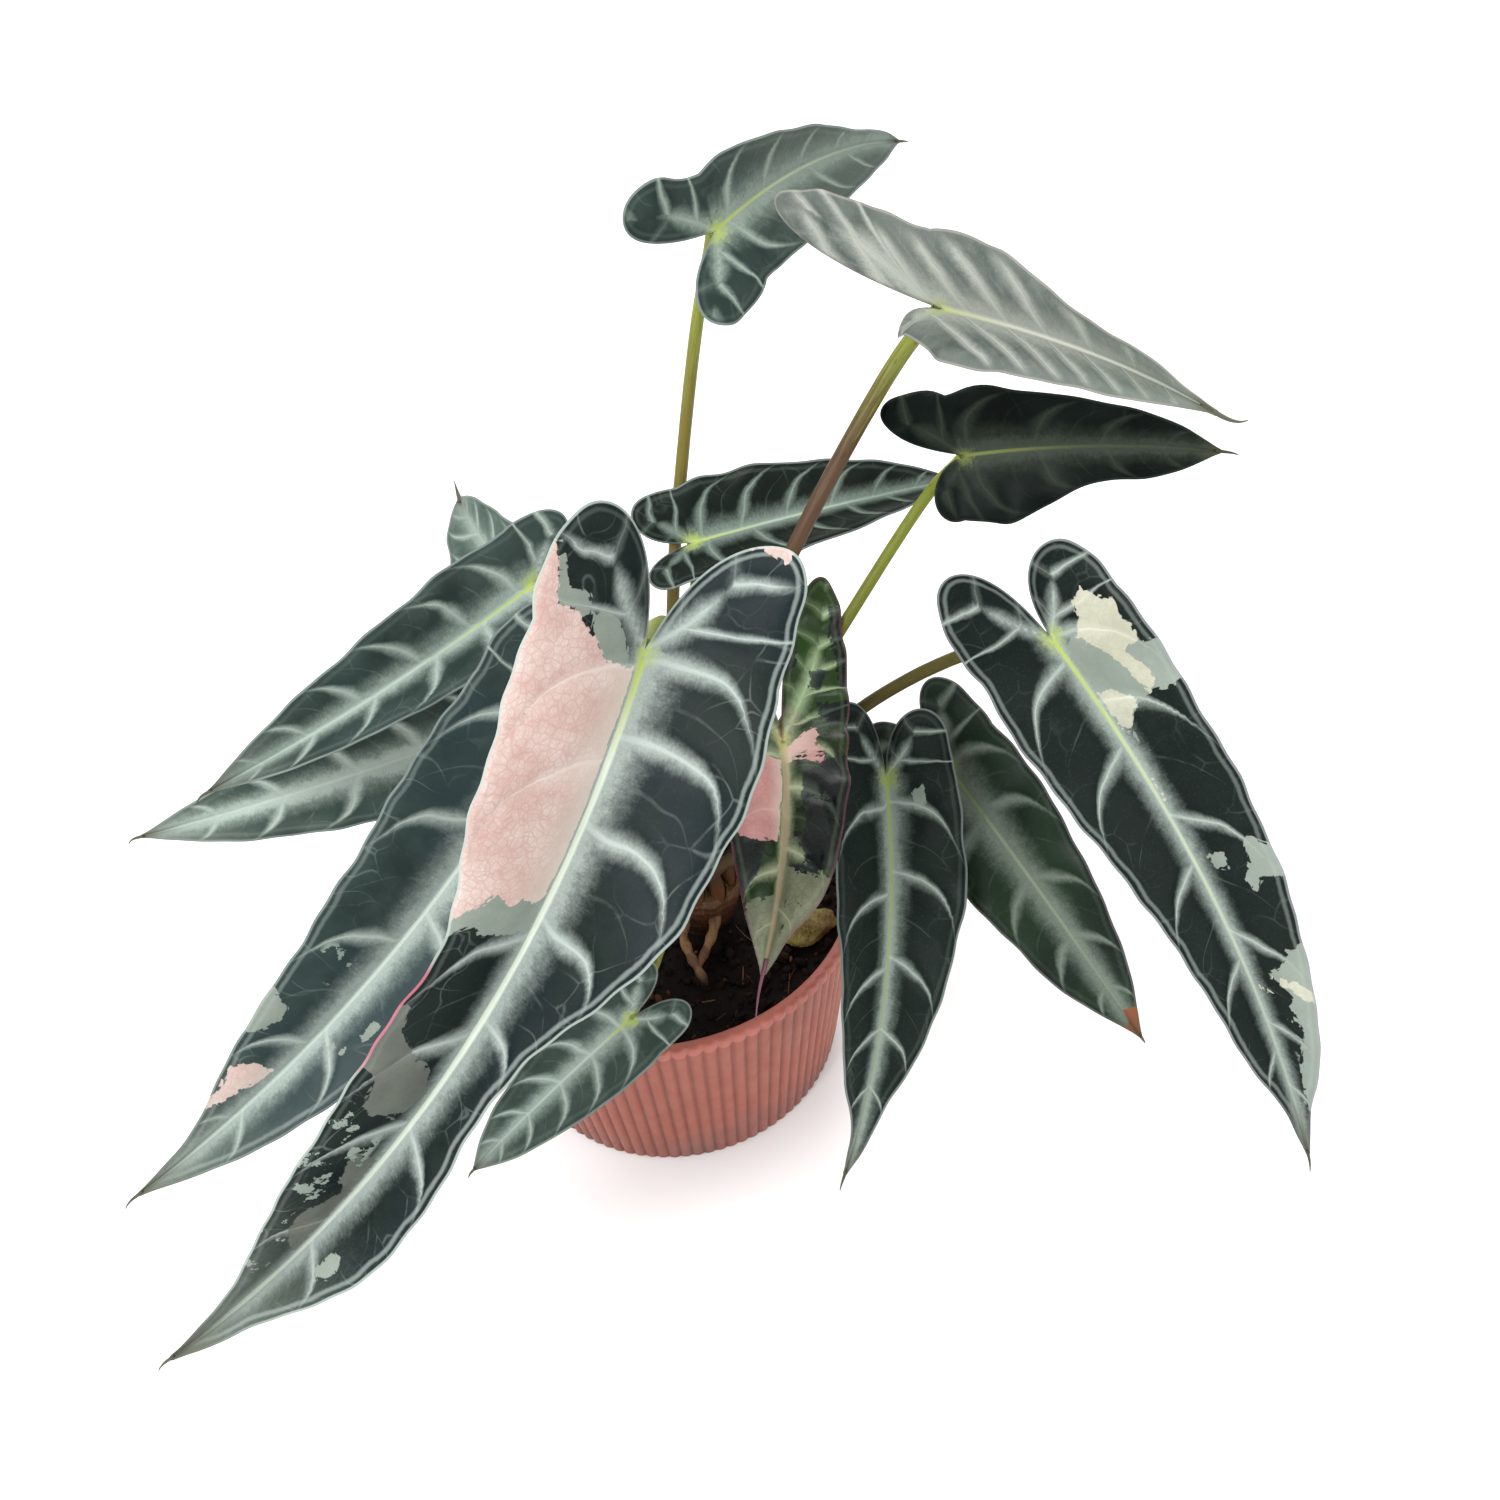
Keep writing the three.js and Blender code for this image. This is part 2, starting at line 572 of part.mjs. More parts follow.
const plant = new THREE.Group();
plant.add(mesh("pot", potGeometry(), 0xcd7a6d, 0.6));
plant.add(mesh("soil", soilGeometry(), 0x241c16, 0.95));
plant.add(mesh("stem_base", fromSolid(stemSolid(0)), 0xa8683a, 0.8));
plant.add(mesh("bark_piece", barkGeometry(0), 0x8a7a45, 0.9));
for (const leaf of leaves.map(prepare)) {
  plant.add(mesh(`stalk_${leaf.name}`, stalkGeometry(leaf), 0x7f7a35, 0.5));
  plant.add(mesh(`blade_${leaf.name}`, bladeGeometry(leaf), 0x2c3a3c, 0.4));
}

export default plant;
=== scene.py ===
import bpy
import numpy as np
from mathutils import Matrix
from math import cos, sin, pi, radians, sqrt


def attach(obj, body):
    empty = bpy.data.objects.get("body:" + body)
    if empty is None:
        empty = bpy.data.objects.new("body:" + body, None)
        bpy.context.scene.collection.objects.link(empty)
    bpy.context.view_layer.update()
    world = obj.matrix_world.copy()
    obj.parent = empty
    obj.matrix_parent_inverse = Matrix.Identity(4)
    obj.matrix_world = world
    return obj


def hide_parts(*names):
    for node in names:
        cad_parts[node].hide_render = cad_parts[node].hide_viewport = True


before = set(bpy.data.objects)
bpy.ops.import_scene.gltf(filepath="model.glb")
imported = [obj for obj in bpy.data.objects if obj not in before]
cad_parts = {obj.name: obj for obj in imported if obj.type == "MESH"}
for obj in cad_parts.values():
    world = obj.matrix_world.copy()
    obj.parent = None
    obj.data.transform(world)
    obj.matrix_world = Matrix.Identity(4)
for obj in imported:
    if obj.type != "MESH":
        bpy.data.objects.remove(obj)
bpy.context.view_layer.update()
rng = np.random.default_rng(7)


def vec(*p):
    return np.array(p, dtype=float)


def unit(p):
    # each row divided by its own length
    return p / np.maximum(np.linalg.norm(p, axis=-1, keepdims=True), 1e-12)


def smooth(low, high, x):
    # 3t² - 2t³ between low and high; low may lie above high
    t = np.clip((x - low) / (high - low), 0, 1)
    return t * t * (3 - 2 * t)


latticeFactors = np.array([374761393, 668265263, 1274126177])
latticeSeed, latticeShift, latticeMask = 9176, 17.31, 0x7FFFFFFF


def noise(points, size, seed=0):
    # Value noise from -1 to 1: every corner of a lattice has a value worked out from its whole
    # coordinates, and a smooth step blends the eight corners round a point.
    p = points / size + seed * latticeShift
    base = np.floor(p).astype(np.int64)
    part = p - base
    part = part * part * (3 - 2 * part)
    total = np.zeros(len(points))
    for corner in range(8):
        step = np.array([corner & 1, corner >> 1 & 1, corner >> 2 & 1])
        mixed = ((base + step) @ latticeFactors + seed * latticeSeed) & latticeMask
        mixed = (mixed ^ (mixed >> 13)) * latticeFactors[2] & latticeMask
        weight = np.prod(np.where(step, part, 1 - part), axis=1)
        total += weight * ((mixed ^ (mixed >> 16)) % 65536 / 32767.5 - 1)
    return total


def layered(points, size, seed=0, layers=3):
    # noise at several sizes, each half as wide and half as strong as the one before
    return sum(noise(points, size / 2 ** k, seed + k) / 2 ** k for k in range(layers))


# Meshes are built in millimetres and stored in metres.
def makeMesh(name, points, faces, replaced, uv=None, fields=None):
    mesh = bpy.data.meshes.new(name)
    mesh.from_pydata((points * 0.001).tolist(), [], faces)
    mesh.update()
    mesh.polygons.foreach_set("use_smooth", np.ones(len(mesh.polygons), dtype=bool))
    corners = np.empty(len(mesh.loops), dtype=np.int32)
    mesh.loops.foreach_get("vertex_index", corners)
    if uv is not None:
        layer = mesh.uv_layers.new(name="UVMap")
        layer.data.foreach_set("uv", (uv[corners] * 0.001).astype(np.float32).ravel())
    for key, values in (fields or {}).items():
        mesh.attributes.new(key, "FLOAT", "POINT").data.foreach_set("value", values.astype(np.float32))
    piece = bpy.data.objects.new(name, mesh)
    bpy.context.scene.collection.objects.link(piece)
    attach(piece, "root")
    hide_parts(*replaced)
    return piece


def gridFaces(index):
    # index is a table of point numbers; welded corners turn quads into triangles
    a, b, c, d = index[:-1, :-1], index[:-1, 1:], index[1:, 1:], index[1:, :-1]
    faces = []
    for quad in np.stack([a, b, c, d], axis=-1).reshape(-1, 4).tolist():
        kept = [q for i, q in enumerate(quad) if q != quad[i - 1]]
        if len(set(kept)) > 2:
            faces.append(kept)
    return faces


def ring(count):
    # angles of evenly spaced points round a circle
    return np.arange(count) / count * 2 * pi


def loftFaces(rings, count):
    # quads between closed rings of equal count, with a cap on the first and on the last
    index = np.arange(rings * count).reshape(rings, count)
    faces = gridFaces(np.concatenate([index, index[:, :1]], axis=1))
    faces.append(list(range(count))[::-1])
    faces.append(list(range((rings - 1) * count, rings * count)))
    return faces


class Heap:
    # Closed parts gathered into one mesh, each with one value of its own.
    def __init__(self):
        self.parts, self.faces, self.values, self.count = [], [], [], 0

    def add(self, points, faces, value):
        self.faces += [[i + self.count for i in face] for face in faces]
        self.parts.append(points)
        self.values.append(np.full(len(points), float(value)))
        self.count += len(points)


def normals(points, faces):
    # each point's normal is the sum of the cross products of the faces round it
    result = np.zeros_like(points)
    for size in (3, 4):
        table = np.array([f for f in faces if len(f) == size], dtype=np.int64)
        if len(table) == 0:
            continue
        across = points[table[:, 2]] - points[table[:, 0]]
        if size == 4:
            face = np.cross(across, points[table[:, 3]] - points[table[:, 1]])
        else:
            face = np.cross(points[table[:, 1]] - points[table[:, 0]], across)
        for k in range(size):
            np.add.at(result, table[:, k], face)
    return unit(result)


def linear(code):
    # sRGB hex code to scene-linear colour
    value = np.array([int(code[i:i + 2], 16) / 255 for i in (0, 2, 4)])
    value = np.where(value <= 0.04045, value / 12.92, ((value + 0.055) / 1.055) ** 2.4)
    return (*value.tolist(), 1)


class Wire:
    # A value inside a material. Arithmetic between wires and numbers makes math nodes.
    def __init__(self, paint, socket):
        self.paint, self.socket = paint, socket

    def __add__(self, other):
        return self.paint.calc("ADD", self, other)

    def __sub__(self, other):
        return self.paint.calc("SUBTRACT", self, other)

    def __mul__(self, other):
        return self.paint.calc("MULTIPLY", self, other)

    def most(self, other):
        return self.paint.calc("MAXIMUM", self, other)

    def wave(self):
        # triangle wave: distance to the nearest whole number
        return self.paint.calc("PINGPONG", self, 0.5)

    def fade(self, low, high, to0=0.0, to1=1.0):
        # smooth step from to0 at low to to1 at high
        return self.paint.node("MapRange", {"Value": self, "From Min": low, "From Max": high,
                                            "To Min": to0, "To Max": to1}, interpolation_type="SMOOTHSTEP")

    def tint(self, share, colour):
        # this colour with a share of another one mixed in
        return self.paint.mix(share, self, colour)


class Paint:
    # A material and the nodes that feed its shader. Colours are sRGB hex codes.
    def __init__(self, name, **settings):
        self.material = bpy.data.materials.new(name)
        self.material.use_nodes = True
        self.nodes, self.links = self.material.node_tree.nodes, self.material.node_tree.links
        self.shader = self.nodes["Principled BSDF"]
        self.set(**settings)

    def put(self, socket, value):
        if isinstance(value, Wire):
            self.links.new(value.socket, socket)
        else:
            socket.default_value = linear(value) if isinstance(value, str) else value

    def set(self, **settings):
        for key, value in settings.items():
            self.put(self.shader.inputs[key.replace("_", " ")], value)

    def node(self, kind, inputs, output=0, **settings):
        node = self.nodes.new("ShaderNode" + kind)
        for key, value in settings.items():
            setattr(node, key, value)
        for key, value in inputs.items():
            self.put(node.inputs[key], value)
        return Wire(self, node.outputs[output])

    def calc(self, operation, a, b=0.0):
        return self.node("Math", {0: a, 1: b}, operation=operation)

    def mix(self, share, a, b):
        # sockets 6 and 7 and output 2 are the node's colours
        return self.node("Mix", {0: share, 6: a, 7: b}, 2, data_type="RGBA")

    def field(self, name):
        return self.node("Attribute", {}, "Fac", attribute_name=name)

    def coords(self, kind="Object", shift=(0, 0, 0), scale=(1, 1, 1)):
        source = self.node("TexCoord", {}, kind)
        return self.node("Mapping", {"Vector": source, "Location": shift, "Scale": scale})

    def grain(self, vector, scale, detail=3.0, roughness=0.55):
        return self.node("TexNoise", {"Vector": vector, "Scale": scale, "Detail": detail,
                                      "Roughness": roughness}, "Fac")

    def cells(self, vector, scale, feature="SMOOTH_F1"):
        return self.node("TexVoronoi", {"Vector": vector, "Scale": scale}, "Color", feature=feature)

    def cracks(self, vector, scale):
        # distance to the border of the nearest cell
        return self.node("TexVoronoi", {"Vector": vector, "Scale": scale}, "Distance",
                         feature="DISTANCE_TO_EDGE")

    def bump(self, height, distance, strength):
        self.set(Normal=self.node("Bump", {"Height": height, "Distance": distance, "Strength": strength}))


cameraLook = dict(pitch=43, roll=6, sensor=36, focal=1540 / 1500, near=0.01, place=(0.034, -0.330, 0.434))


def lookCamera():
    # The camera looks along +y and down by the pitch, and rolls about its line of sight.
    pitch, roll = radians(cameraLook["pitch"]), radians(cameraLook["roll"])
    right0, up0 = vec(1, 0, 0), vec(0, sin(pitch), cos(pitch))
    forward = vec(0, cos(pitch), -sin(pitch))
    right = cos(roll) * right0 - sin(roll) * up0
    up = sin(roll) * right0 + cos(roll) * up0
    data = bpy.data.cameras.new("camera")
    data.sensor_width = cameraLook["sensor"]
    data.lens = cameraLook["sensor"] * cameraLook["focal"]
    data.clip_start = cameraLook["near"]
    camera = bpy.data.objects.new("camera", data)
    turn = np.eye(4)
    turn[:3] = np.stack([right, up, -forward, vec(*cameraLook["place"])], axis=1)
    camera.matrix_world = Matrix(turn)
    bpy.context.scene.collection.objects.link(camera)
    bpy.context.scene.camera = camera


def areaLight(name, place, target, size, power):
    # a round lamp whose own z axis points from its target back to its place
    data = bpy.data.lights.new(name, "AREA")
    data.shape = "DISK"
    data.size = size
    data.energy = power
    light = bpy.data.objects.new(name, data)
    z = unit(vec(*place) - vec(*target))
    x = unit(np.cross(vec(0, 0, 1), z))
    turn = np.eye(4)
    turn[:3] = np.stack([x, np.cross(z, x), z, vec(*place)], axis=1)
    light.matrix_world = Matrix(turn)
    bpy.context.scene.collection.objects.link(light)


stageLook = dict(
    floorHalf=40, floorColour=0.93, floorRoughness=0.9, sky=0.92,
    lights=[("key", (-0.55, -0.55, 0.95), (0, -0.02, 0.12), 0.7, 12),  # name, place, target, size, watts
            ("fill", (0.8, -0.6, 0.7), (0, 0, 0.12), 0.9, 4),
            ("back", (0.1, 0.9, 0.8), (0, 0, 0.15), 0.7, 5)])


def makeStage():
    mesh = bpy.data.meshes.new("floor")
    half, pale = stageLook["floorHalf"], stageLook["floorColour"]
    corners = [(-half, -half, 0), (half, -half, 0), (half, half, 0), (-half, half, 0)]
    mesh.from_pydata(corners, [], [(0, 1, 2, 3)])
    floor = bpy.data.objects.new("floor", mesh)
    bpy.context.scene.collection.objects.link(floor)
    mesh.materials.append(Paint("floor", Roughness=stageLook["floorRoughness"],
                                Base_Color=(pale, pale, pale, 1)).material)
    world = bpy.data.worlds.new("studio")
    world.use_nodes = True
    world.node_tree.nodes["Background"].inputs[0].default_value = (1, 1, 1, 1)
    world.node_tree.nodes["Background"].inputs[1].default_value = stageLook["sky"]
    bpy.context.scene.world = world
    bpy.context.scene.view_settings.view_transform = "Standard"
    for light in stageLook["lights"]:
        areaLight(*light)
    print("stage")


potHeight, rimRadius, baseRadius, lipHeight, lipStep = 72, 65, 54, 4, 0.8
potWall, potFloor, ribCount, ribDepth, footChamfer = 1.8, 2.5, 88, 1.1, 1.5
drainCount, drainCircle, drainRadius = 6, 34, 4
potSlope = (rimRadius - lipStep - baseRadius) / potHeight
# colours with painted light: body is darkened for the leaves' shade over the pot, shade is a shaded copy of
# it, valley is painted shade in the ribs' hollows, rim a painted highlight on the lip, and the mauve towards
# the foot is painted shade
potLook = dict(body="9b5442", shade="8b4838", valley="74392c", rim="ab6053", scuff="b07f72", lowerShade="6f5049",
               roughness=(0.45, 0.6), pointsPerRib=10)


def potInside(z):
    # the wall leans outwards, and its inner face lies behind the ribs' valleys
    return baseRadius + potSlope * z - ribDepth - potWall


def potStations():
    # radius, height and how deep the ribs cut there, from the foot up and down again inside
    stations = []
    for k in range(5):
        turn = k / 4 * pi / 2
        stations.append((baseRadius - footChamfer * (1 - sin(turn)), footChamfer * (1 - cos(turn)), k / 4))
    for z in np.linspace(8, potHeight - lipHeight - 0.6, 8):
        stations.append((baseRadius + potSlope * z, z, 1))
    lipFoot, mouth = potHeight - lipHeight, potInside(potHeight)
    stations += [(baseRadius + potSlope * lipFoot, lipFoot, 1), (rimRadius - 0.25, lipFoot + 0.35, 1),
                 (rimRadius, lipFoot + lipStep, 0.95), (rimRadius, potHeight - 0.9, 0.95),
                 (rimRadius - 0.25, potHeight - 0.25, 0.9), (rimRadius - 0.9, potHeight, 0.8),
                 (mouth + 0.6, potHeight, 0.15), (mouth + 0.1, potHeight - 0.5, 0)]
    return stations + [(potInside(z), z, 0) for z in (66, 50, potFloor)]


def cutDrains(piece):
    # drain holes are cut by short upright cylinders that stand in a circle
    angle = ring(24)
    cutters = []
    for k in range(drainCount):
        turn = k / drainCount * 2 * pi
        circle = np.stack([drainCircle * cos(turn) + drainRadius * np.cos(angle),
                           drainCircle * sin(turn) + drainRadius * np.sin(angle), 0 * angle], axis=1)
        cutters.append(np.concatenate([circle + vec(0, 0, -3), circle + vec(0, 0, 5)]))
    faces = [[48 * k + i for i in face] for k in range(drainCount) for face in loftFaces(2, 24)]
    mesh = bpy.data.meshes.new("drain_cutter")
    mesh.from_pydata((np.concatenate(cutters) * 0.001).tolist(), [], faces)
    cutter = bpy.data.objects.new("drain_cutter", mesh)
    bpy.context.scene.collection.objects.link(cutter)
    cut = piece.modifiers.new("drains", "BOOLEAN")
    cut.object = cutter
    cut.solver = "EXACT"
    bpy.context.view_layer.objects.active = piece
    bpy.ops.object.modifier_apply(modifier="drains")
    bpy.data.objects.remove(cutter)


def potPaint():
    paint = Paint("pot_plastic", IOR=1.47, Subsurface_Weight=0.08, Subsurface_Radius=(0.004, 0.0015, 0.001))
    where = paint.coords()
    cloudy = paint.grain(where, 38)
    level = paint.field("level")
    # cloudy patches of the shaded copy of the body: painted shade
    base = paint.mix(cloudy, potLook["body"], potLook["shade"])
    # painted shade darkens the ribs' valleys
    base = base.tint(paint.field("valley").fade(0.1, 1.0, 0, 0.6), potLook["valley"])
    # a painted highlight lightens the band at the rim
    base = base.tint(level.fade(0.93, 0.965, 0, 0.8), potLook["rim"])
    base = base.tint(paint.grain(where, 900, 2).fade(0.62, 0.72, 0, 0.2), potLook["scuff"])
    # painted shade: below about a third of its height the pot turns darker and mauve, in cloudy patches
    lowerShade = level.fade(0.35, 0.0) * cloudy.fade(0.3, 0.7, 0.3, 1)
    paint.set(Base_Color=base.tint(lowerShade * 0.75, potLook["lowerShade"]),
              Roughness=paint.grain(where, 160, 4).fade(0.3, 0.7, *potLook["roughness"]))
    paint.bump(paint.grain(where, 1400), 0.00008, 0.6)
    return paint.material


def potPiece():
    # turned profile whose radius is drawn in round the circle where a rib's valley lies
    count = ribCount * potLook["pointsPerRib"]
    angle = ring(count)
    # a rib is a rounded bulge whose valley lies half way between two peaks
    valley = (np.abs((np.arange(count) / potLook["pointsPerRib"] + 0.5) % 1 - 0.5) * 2) ** 2.2
    rings, depth, height = [], [], []
    for radius, z, cut in potStations():
        r = radius - valley * ribDepth * cut
        rings.append(np.stack([r * np.cos(angle), r * np.sin(angle), np.full(count, z)], axis=1))
        depth.append(valley * cut)
        height.append(np.full(count, z / potHeight))
    piece = makeMesh("pot_shell", np.concatenate(rings), loftFaces(len(rings), count), ["pot"],
                     fields={"valley": np.concatenate(depth), "level": np.concatenate(height)})
    cutDrains(piece)
    piece.data.materials.clear()
    piece.data.materials.append(potPaint())
    print("pot", len(piece.data.polygons))


# Leaves have the same places and shapes as the solids, in millimetres.
outlineStations = np.array([0, 0.1, 0.25, 0.4, 0.55, 0.7, 0.82, 0.92, 0.97, 1])
outlineWidths = np.array([0.94, 1, 0.97, 0.87, 0.74, 0.57, 0.38, 0.17, 0.06, 0.012])
halfCurl, marginWave, wavesPerBlade, lobeRoundness = radians(-14), 0.06, 4.5, 2.6
widestBlade, waver = 35, 0.016


def outlineShare(t):
    # cubic Hermite curve through the stations, with slopes from each one's two neighbours
    last = len(outlineStations) - 1
    slopes = np.array([(outlineWidths[min(last, k + 1)] - outlineWidths[max(0, k - 1)])
                       / (outlineStations[min(last, k + 1)] - outlineStations[max(0, k - 1)])
                       for k in range(last + 1)])
    i = np.clip(np.searchsorted(outlineStations, t, side="left") - 1, 0, last - 1)
    h = outlineStations[i + 1] - outlineStations[i]
    s = (t - outlineStations[i]) / h
    rise = outlineWidths[i + 1] - outlineWidths[i]
    early = (slopes[i] * h - rise) * (1 - s) ** 2 * s
    late = (rise - slopes[i + 1] * h) * s ** 2 * (1 - s)
    return outlineWidths[i] + rise * s + early + late


def prepare(leaf):
    # The midrib is a quadratic curve whose handle stands off the chord's middle by twice the bow.
    junction, tip = vec(*leaf["junction"]), vec(*leaf["tip"])
    along = unit(tip - junction)
    face = vec(*leaf["face"])
    up = unit(face - along * (face @ along))
    across = np.cross(along, up)
    chord = np.linalg.norm(tip - junction)
    bow = leaf["bow"]
    handle = (junction + tip) / 2 + up * 2 * bow[0] + across * 2 * bow[1]
    length = chord + 1.3 * (bow[0] ** 2 + bow[1] ** 2) / chord
    leaf.update(junction=junction, tip=tip, across=across, handle=handle, length=length)
    return leaf


def edges(leaf, half, y):
    # inner and outer distance from the midrib; behind the junction a lobe is a rounded bulge
    share = np.clip(y / leaf["length"], 0, 1)
    swell = np.zeros(len(y))
    for side, place, width, amount in leaf["swells"]:
        if side == half:
            swell += amount * np.exp(-((y / leaf["length"] - place) / width) ** 2)
    # the margin wavers a little about the solid's smooth outline
    swell += waver * np.sin(y / 2.6 + 3 * half + leaf["seed"]) * np.sin(y / 7.3 + leaf["seed"] + half)
    ahead = leaf["halfWidth"] * outlineShare(share) * (1 + swell)
    back = np.clip(-y / leaf["lobes"][half], 0, 1)
    rootWidth = leaf["halfWidth"] * outlineWidths[0]
    middle = 0.5 * rootWidth * (1 + leaf["spread"][half] * back)
    reach = 0.5 * rootWidth * np.sqrt(np.maximum(0, 1 - back ** lobeRoundness))
    inner = np.where(y >= 0, 0, np.maximum(0, middle - reach))
    return inner, np.where(y >= 0, ahead, middle + reach * (1 + 2 * swell))


def midribAt(leaf, u):
    # point, heading, and the blade's across and up directions at shares u of the midrib
    u = u[:, None]
    j, h, t = leaf["junction"], leaf["handle"], leaf["tip"]
    point = j * (1 - u) ** 2 + h * 2 * u * (1 - u) + t * u * u
    heading = unit((h - j) * (1 - u) + (t - h) * u)
    across = unit(leaf["across"] - heading * (heading @ leaf["across"])[:, None])
    return point, heading, across, np.cross(across, heading)


def bladePoint(leaf, half, x, y):
    # Each half is an arc whose mean slope is its fold angle, a lobe bends up along another arc,
    # the frame rolls towards the tip, and waves grow with the square of x.
    u = np.clip(y / leaf["length"], 0, 1)
    point, heading, across, up = midribAt(leaf, u)
    roll = (radians(leaf["twist"]) * u)[:, None]
    across, up = across * np.cos(roll) + up * np.sin(roll), up * np.cos(roll) - across * np.sin(roll)
    lobe = leaf["lobes"][half]
    turn = max(1e-4, radians(leaf["lift"][half])) / lobe
    angle = (turn * np.clip(-y, 0, lobe))[:, None]
    point = point - heading * np.sin(angle) / turn + up * (1 - np.cos(angle)) / turn
    up = up * np.cos(angle) + heading * np.sin(angle)
    fold = radians(leaf["fold"][half]) - halfCurl / 2
    curl = halfCurl / leaf["halfWidth"]
    sideways = (np.sin(fold + curl * x) - np.sin(fold)) / curl
    rise = (np.cos(fold) - np.cos(fold + curl * x)) / curl
    wave = np.sin(2 * pi * wavesPerBlade * y / leaf["length"] + half * 2)
    waved = marginWave * leaf["halfWidth"] * wave * (x / leaf["halfWidth"]) ** 2
    sign = -1 if half == 0 else 1
    return point + across * (sign * sideways)[:, None] + up * (rise + waved)[:, None]


def toOutline(points, outline, closed):
    # distance from each 2D point to a line of points, below zero inside a closed one
    a = outline if closed else outline[:-1]
    b = np.roll(outline, -1, axis=0) if closed else outline[1:]
    best = np.full(len(points), 1e9)
    inside = np.zeros(len(points), dtype=bool)
    for p, q in zip(a, b):
        d = q - p
        t = np.clip(((points - p) @ d) / max(d @ d, 1e-12), 0, 1)
        best = np.minimum(best, np.linalg.norm(points - p - t[:, None] * d, axis=1))
        if closed and abs(q[1] - p[1]) > 1e-12:
            crosses = (p[1] > points[:, 1]) != (q[1] > points[:, 1])
            inside ^= crosses & (points[:, 0] < p[0] + (points[:, 1] - p[1]) * d[0] / d[1])
    return np.where(inside, -best, best) if closed else best


def veinFields(leaf, half, x, y):
    # Fields that the materials read. Side veins lie at whole lane numbers, the scales turn a
    # distance in lanes into silver widths, and rib, spine and lobeAxis are distances over the
    # local width of a vein or of its silver.
    length, wide, look = leaf["length"], leaf["halfWidth"], leaf["look"]
    share = np.clip(y / length, 0, 1)
    ahead = np.maximum(edges(leaf, half, np.maximum(y, 0))[1], 1.0)
    reach = np.clip(x / ahead, 0, 1.2)
    level = np.full(len(x), leaf["seed"] + 9.0 * half)
    wobble = noise(np.stack([x, y, level], axis=1), 0.3 * wide, leaf["seed"])
    wobble = wobble + 0.4 * noise(np.stack([x, y, level], axis=1), 0.12 * wide, leaf["seed"] + 5)
    # side veins leave the midrib almost square and sweep towards the tip near the margin
    lean = np.maximum(leaf["lean"][half] + 0.7 * (y / length - 0.2), min(-0.15, leaf["lean"][half]))
    q = y - lean * x - leaf["sweep"] * ahead * reach ** 4.5 + 0.035 * wide * wobble
    starts = np.array(leaf["veins"][half]) * length
    gap = np.gradient(starts)
    lane = np.interp(q, starts, np.arange(len(starts)))
    lane = np.where(q < starts[0], (q - starts[0]) / gap[0], lane)
    lane = np.where(q > starts[-1], len(starts) - 1 + (q - starts[-1]) / gap[-1], lane)
    gapHere = np.interp(q, starts, gap)
    last = len(starts) - 1
    shown = smooth(-0.5, -0.25, lane) * (1 - smooth(last + 0.3, last + 0.5, lane))
    # a lobe's own vein runs back from the junction, with side veins leaving both ways
    lobe = leaf["lobes"][half]
    goal = vec(leaf["lobeAim"][half] * wide * (1 + leaf["spread"][half]), -lobe)
    span = np.linalg.norm(goal)
    t = (x * goal[0] + y * goal[1]) / span
    along = np.clip(t / span, 0, 1)
    off = (y * goal[0] - x * goal[1]) / span - 0.07 * span * np.sin(along * pi)
    lobeGap = max(6.0, leaf["lobeGap"] * span)
    lobeLane = (t - leaf["lobeLean"] * np.abs(off) + 0.05 * wide * wobble) / lobeGap + 0.4
    within = smooth(0.12 * wide, -0.02 * wide, y - 0.2 * x) * smooth(0.5, 0.75, lobeLane)
    within = within * np.where(off > 0, 1, 0.25) * smooth(1.02, 0.85, t / span)
    size = (0.35 + 0.65 * wide / widestBlade) * look["haloGain"]
    taper = look["taper"]
    sideHalo = size * (taper[0] + taper[1] * (1 - np.clip(reach, 0, 1)) ** 1.4) * (1 - 0.3 * share)
    ribHalf = (0.25 + 0.017 * wide * (1 - share) ** 0.8) * look["ribGain"]
    ribHalo = size * (6.8 - 4.2 * share) * look["spine"][half]
    ahead = np.minimum(x / ribHalo, np.hypot(x, y) / (size * 6))
    spine = np.where(y < 0, np.hypot(x, y) / (size * 5.5), ahead)
    lobeSize = size * (2.4 - 1.9 * np.clip(np.abs(off) / (0.55 * wide), 0, 1))
    lobeAxis = np.where(t > 0, np.abs(off), np.hypot(off, t)) / (size * (4.0 - 2.8 * along))
    lobeAxis = lobeAxis + 3 * smooth(0.45, 1.0, t / span) + 4 * (y > 0.35 * x)
    fields = {
        "lane": lane, "laneScale": gapHere / sideHalo, "laneShow": shown * smooth(1.02, 0.72, reach),
        "lobeLane": lobeLane, "lobeScale": lobeGap / lobeSize, "lobeShow": within, "lobeAxis": lobeAxis,
        "rib": np.where(y < 0, np.hypot(x, y), x) / ribHalf, "spine": spine, "share": share, "reach": reach,
        "heart": np.hypot(x, y), "side": np.full(len(x), float(half)),
    }
    near = np.abs(lane - np.round(lane)) * fields["laneScale"]
    nearLobe = np.abs(lobeLane - np.round(lobeLane)) * fields["lobeScale"]
    halo = np.maximum.reduce([np.exp(-spine ** 2), np.exp(-near ** 2) * shown, np.exp(-lobeAxis ** 2),
                              np.exp(-nearLobe ** 2) * within])
    return fields, halo


patchKinds, farOutside = ("olive", "grey", "cream", "pink", "green", "black", "fleck"), -30.0


def patchFields(leaf, half, flat):
    # Distance in millimetres from the edge of the nearest patch of each kind, above zero inside.
    fields = {}
    scale = vec(leaf["halfWidth"], leaf["length"])
    for kind in patchKinds:
        if any(patch[0] == kind for patch in leaf["patches"]):
            best = np.full(len(flat), farOutside)
            for corners in (patch[2] for patch in leaf["patches"] if patch[:2] == (kind, half)):
                best = np.maximum(best, -toOutline(flat, np.array(corners) * scale, True))
            fields[kind] = best
    return fields


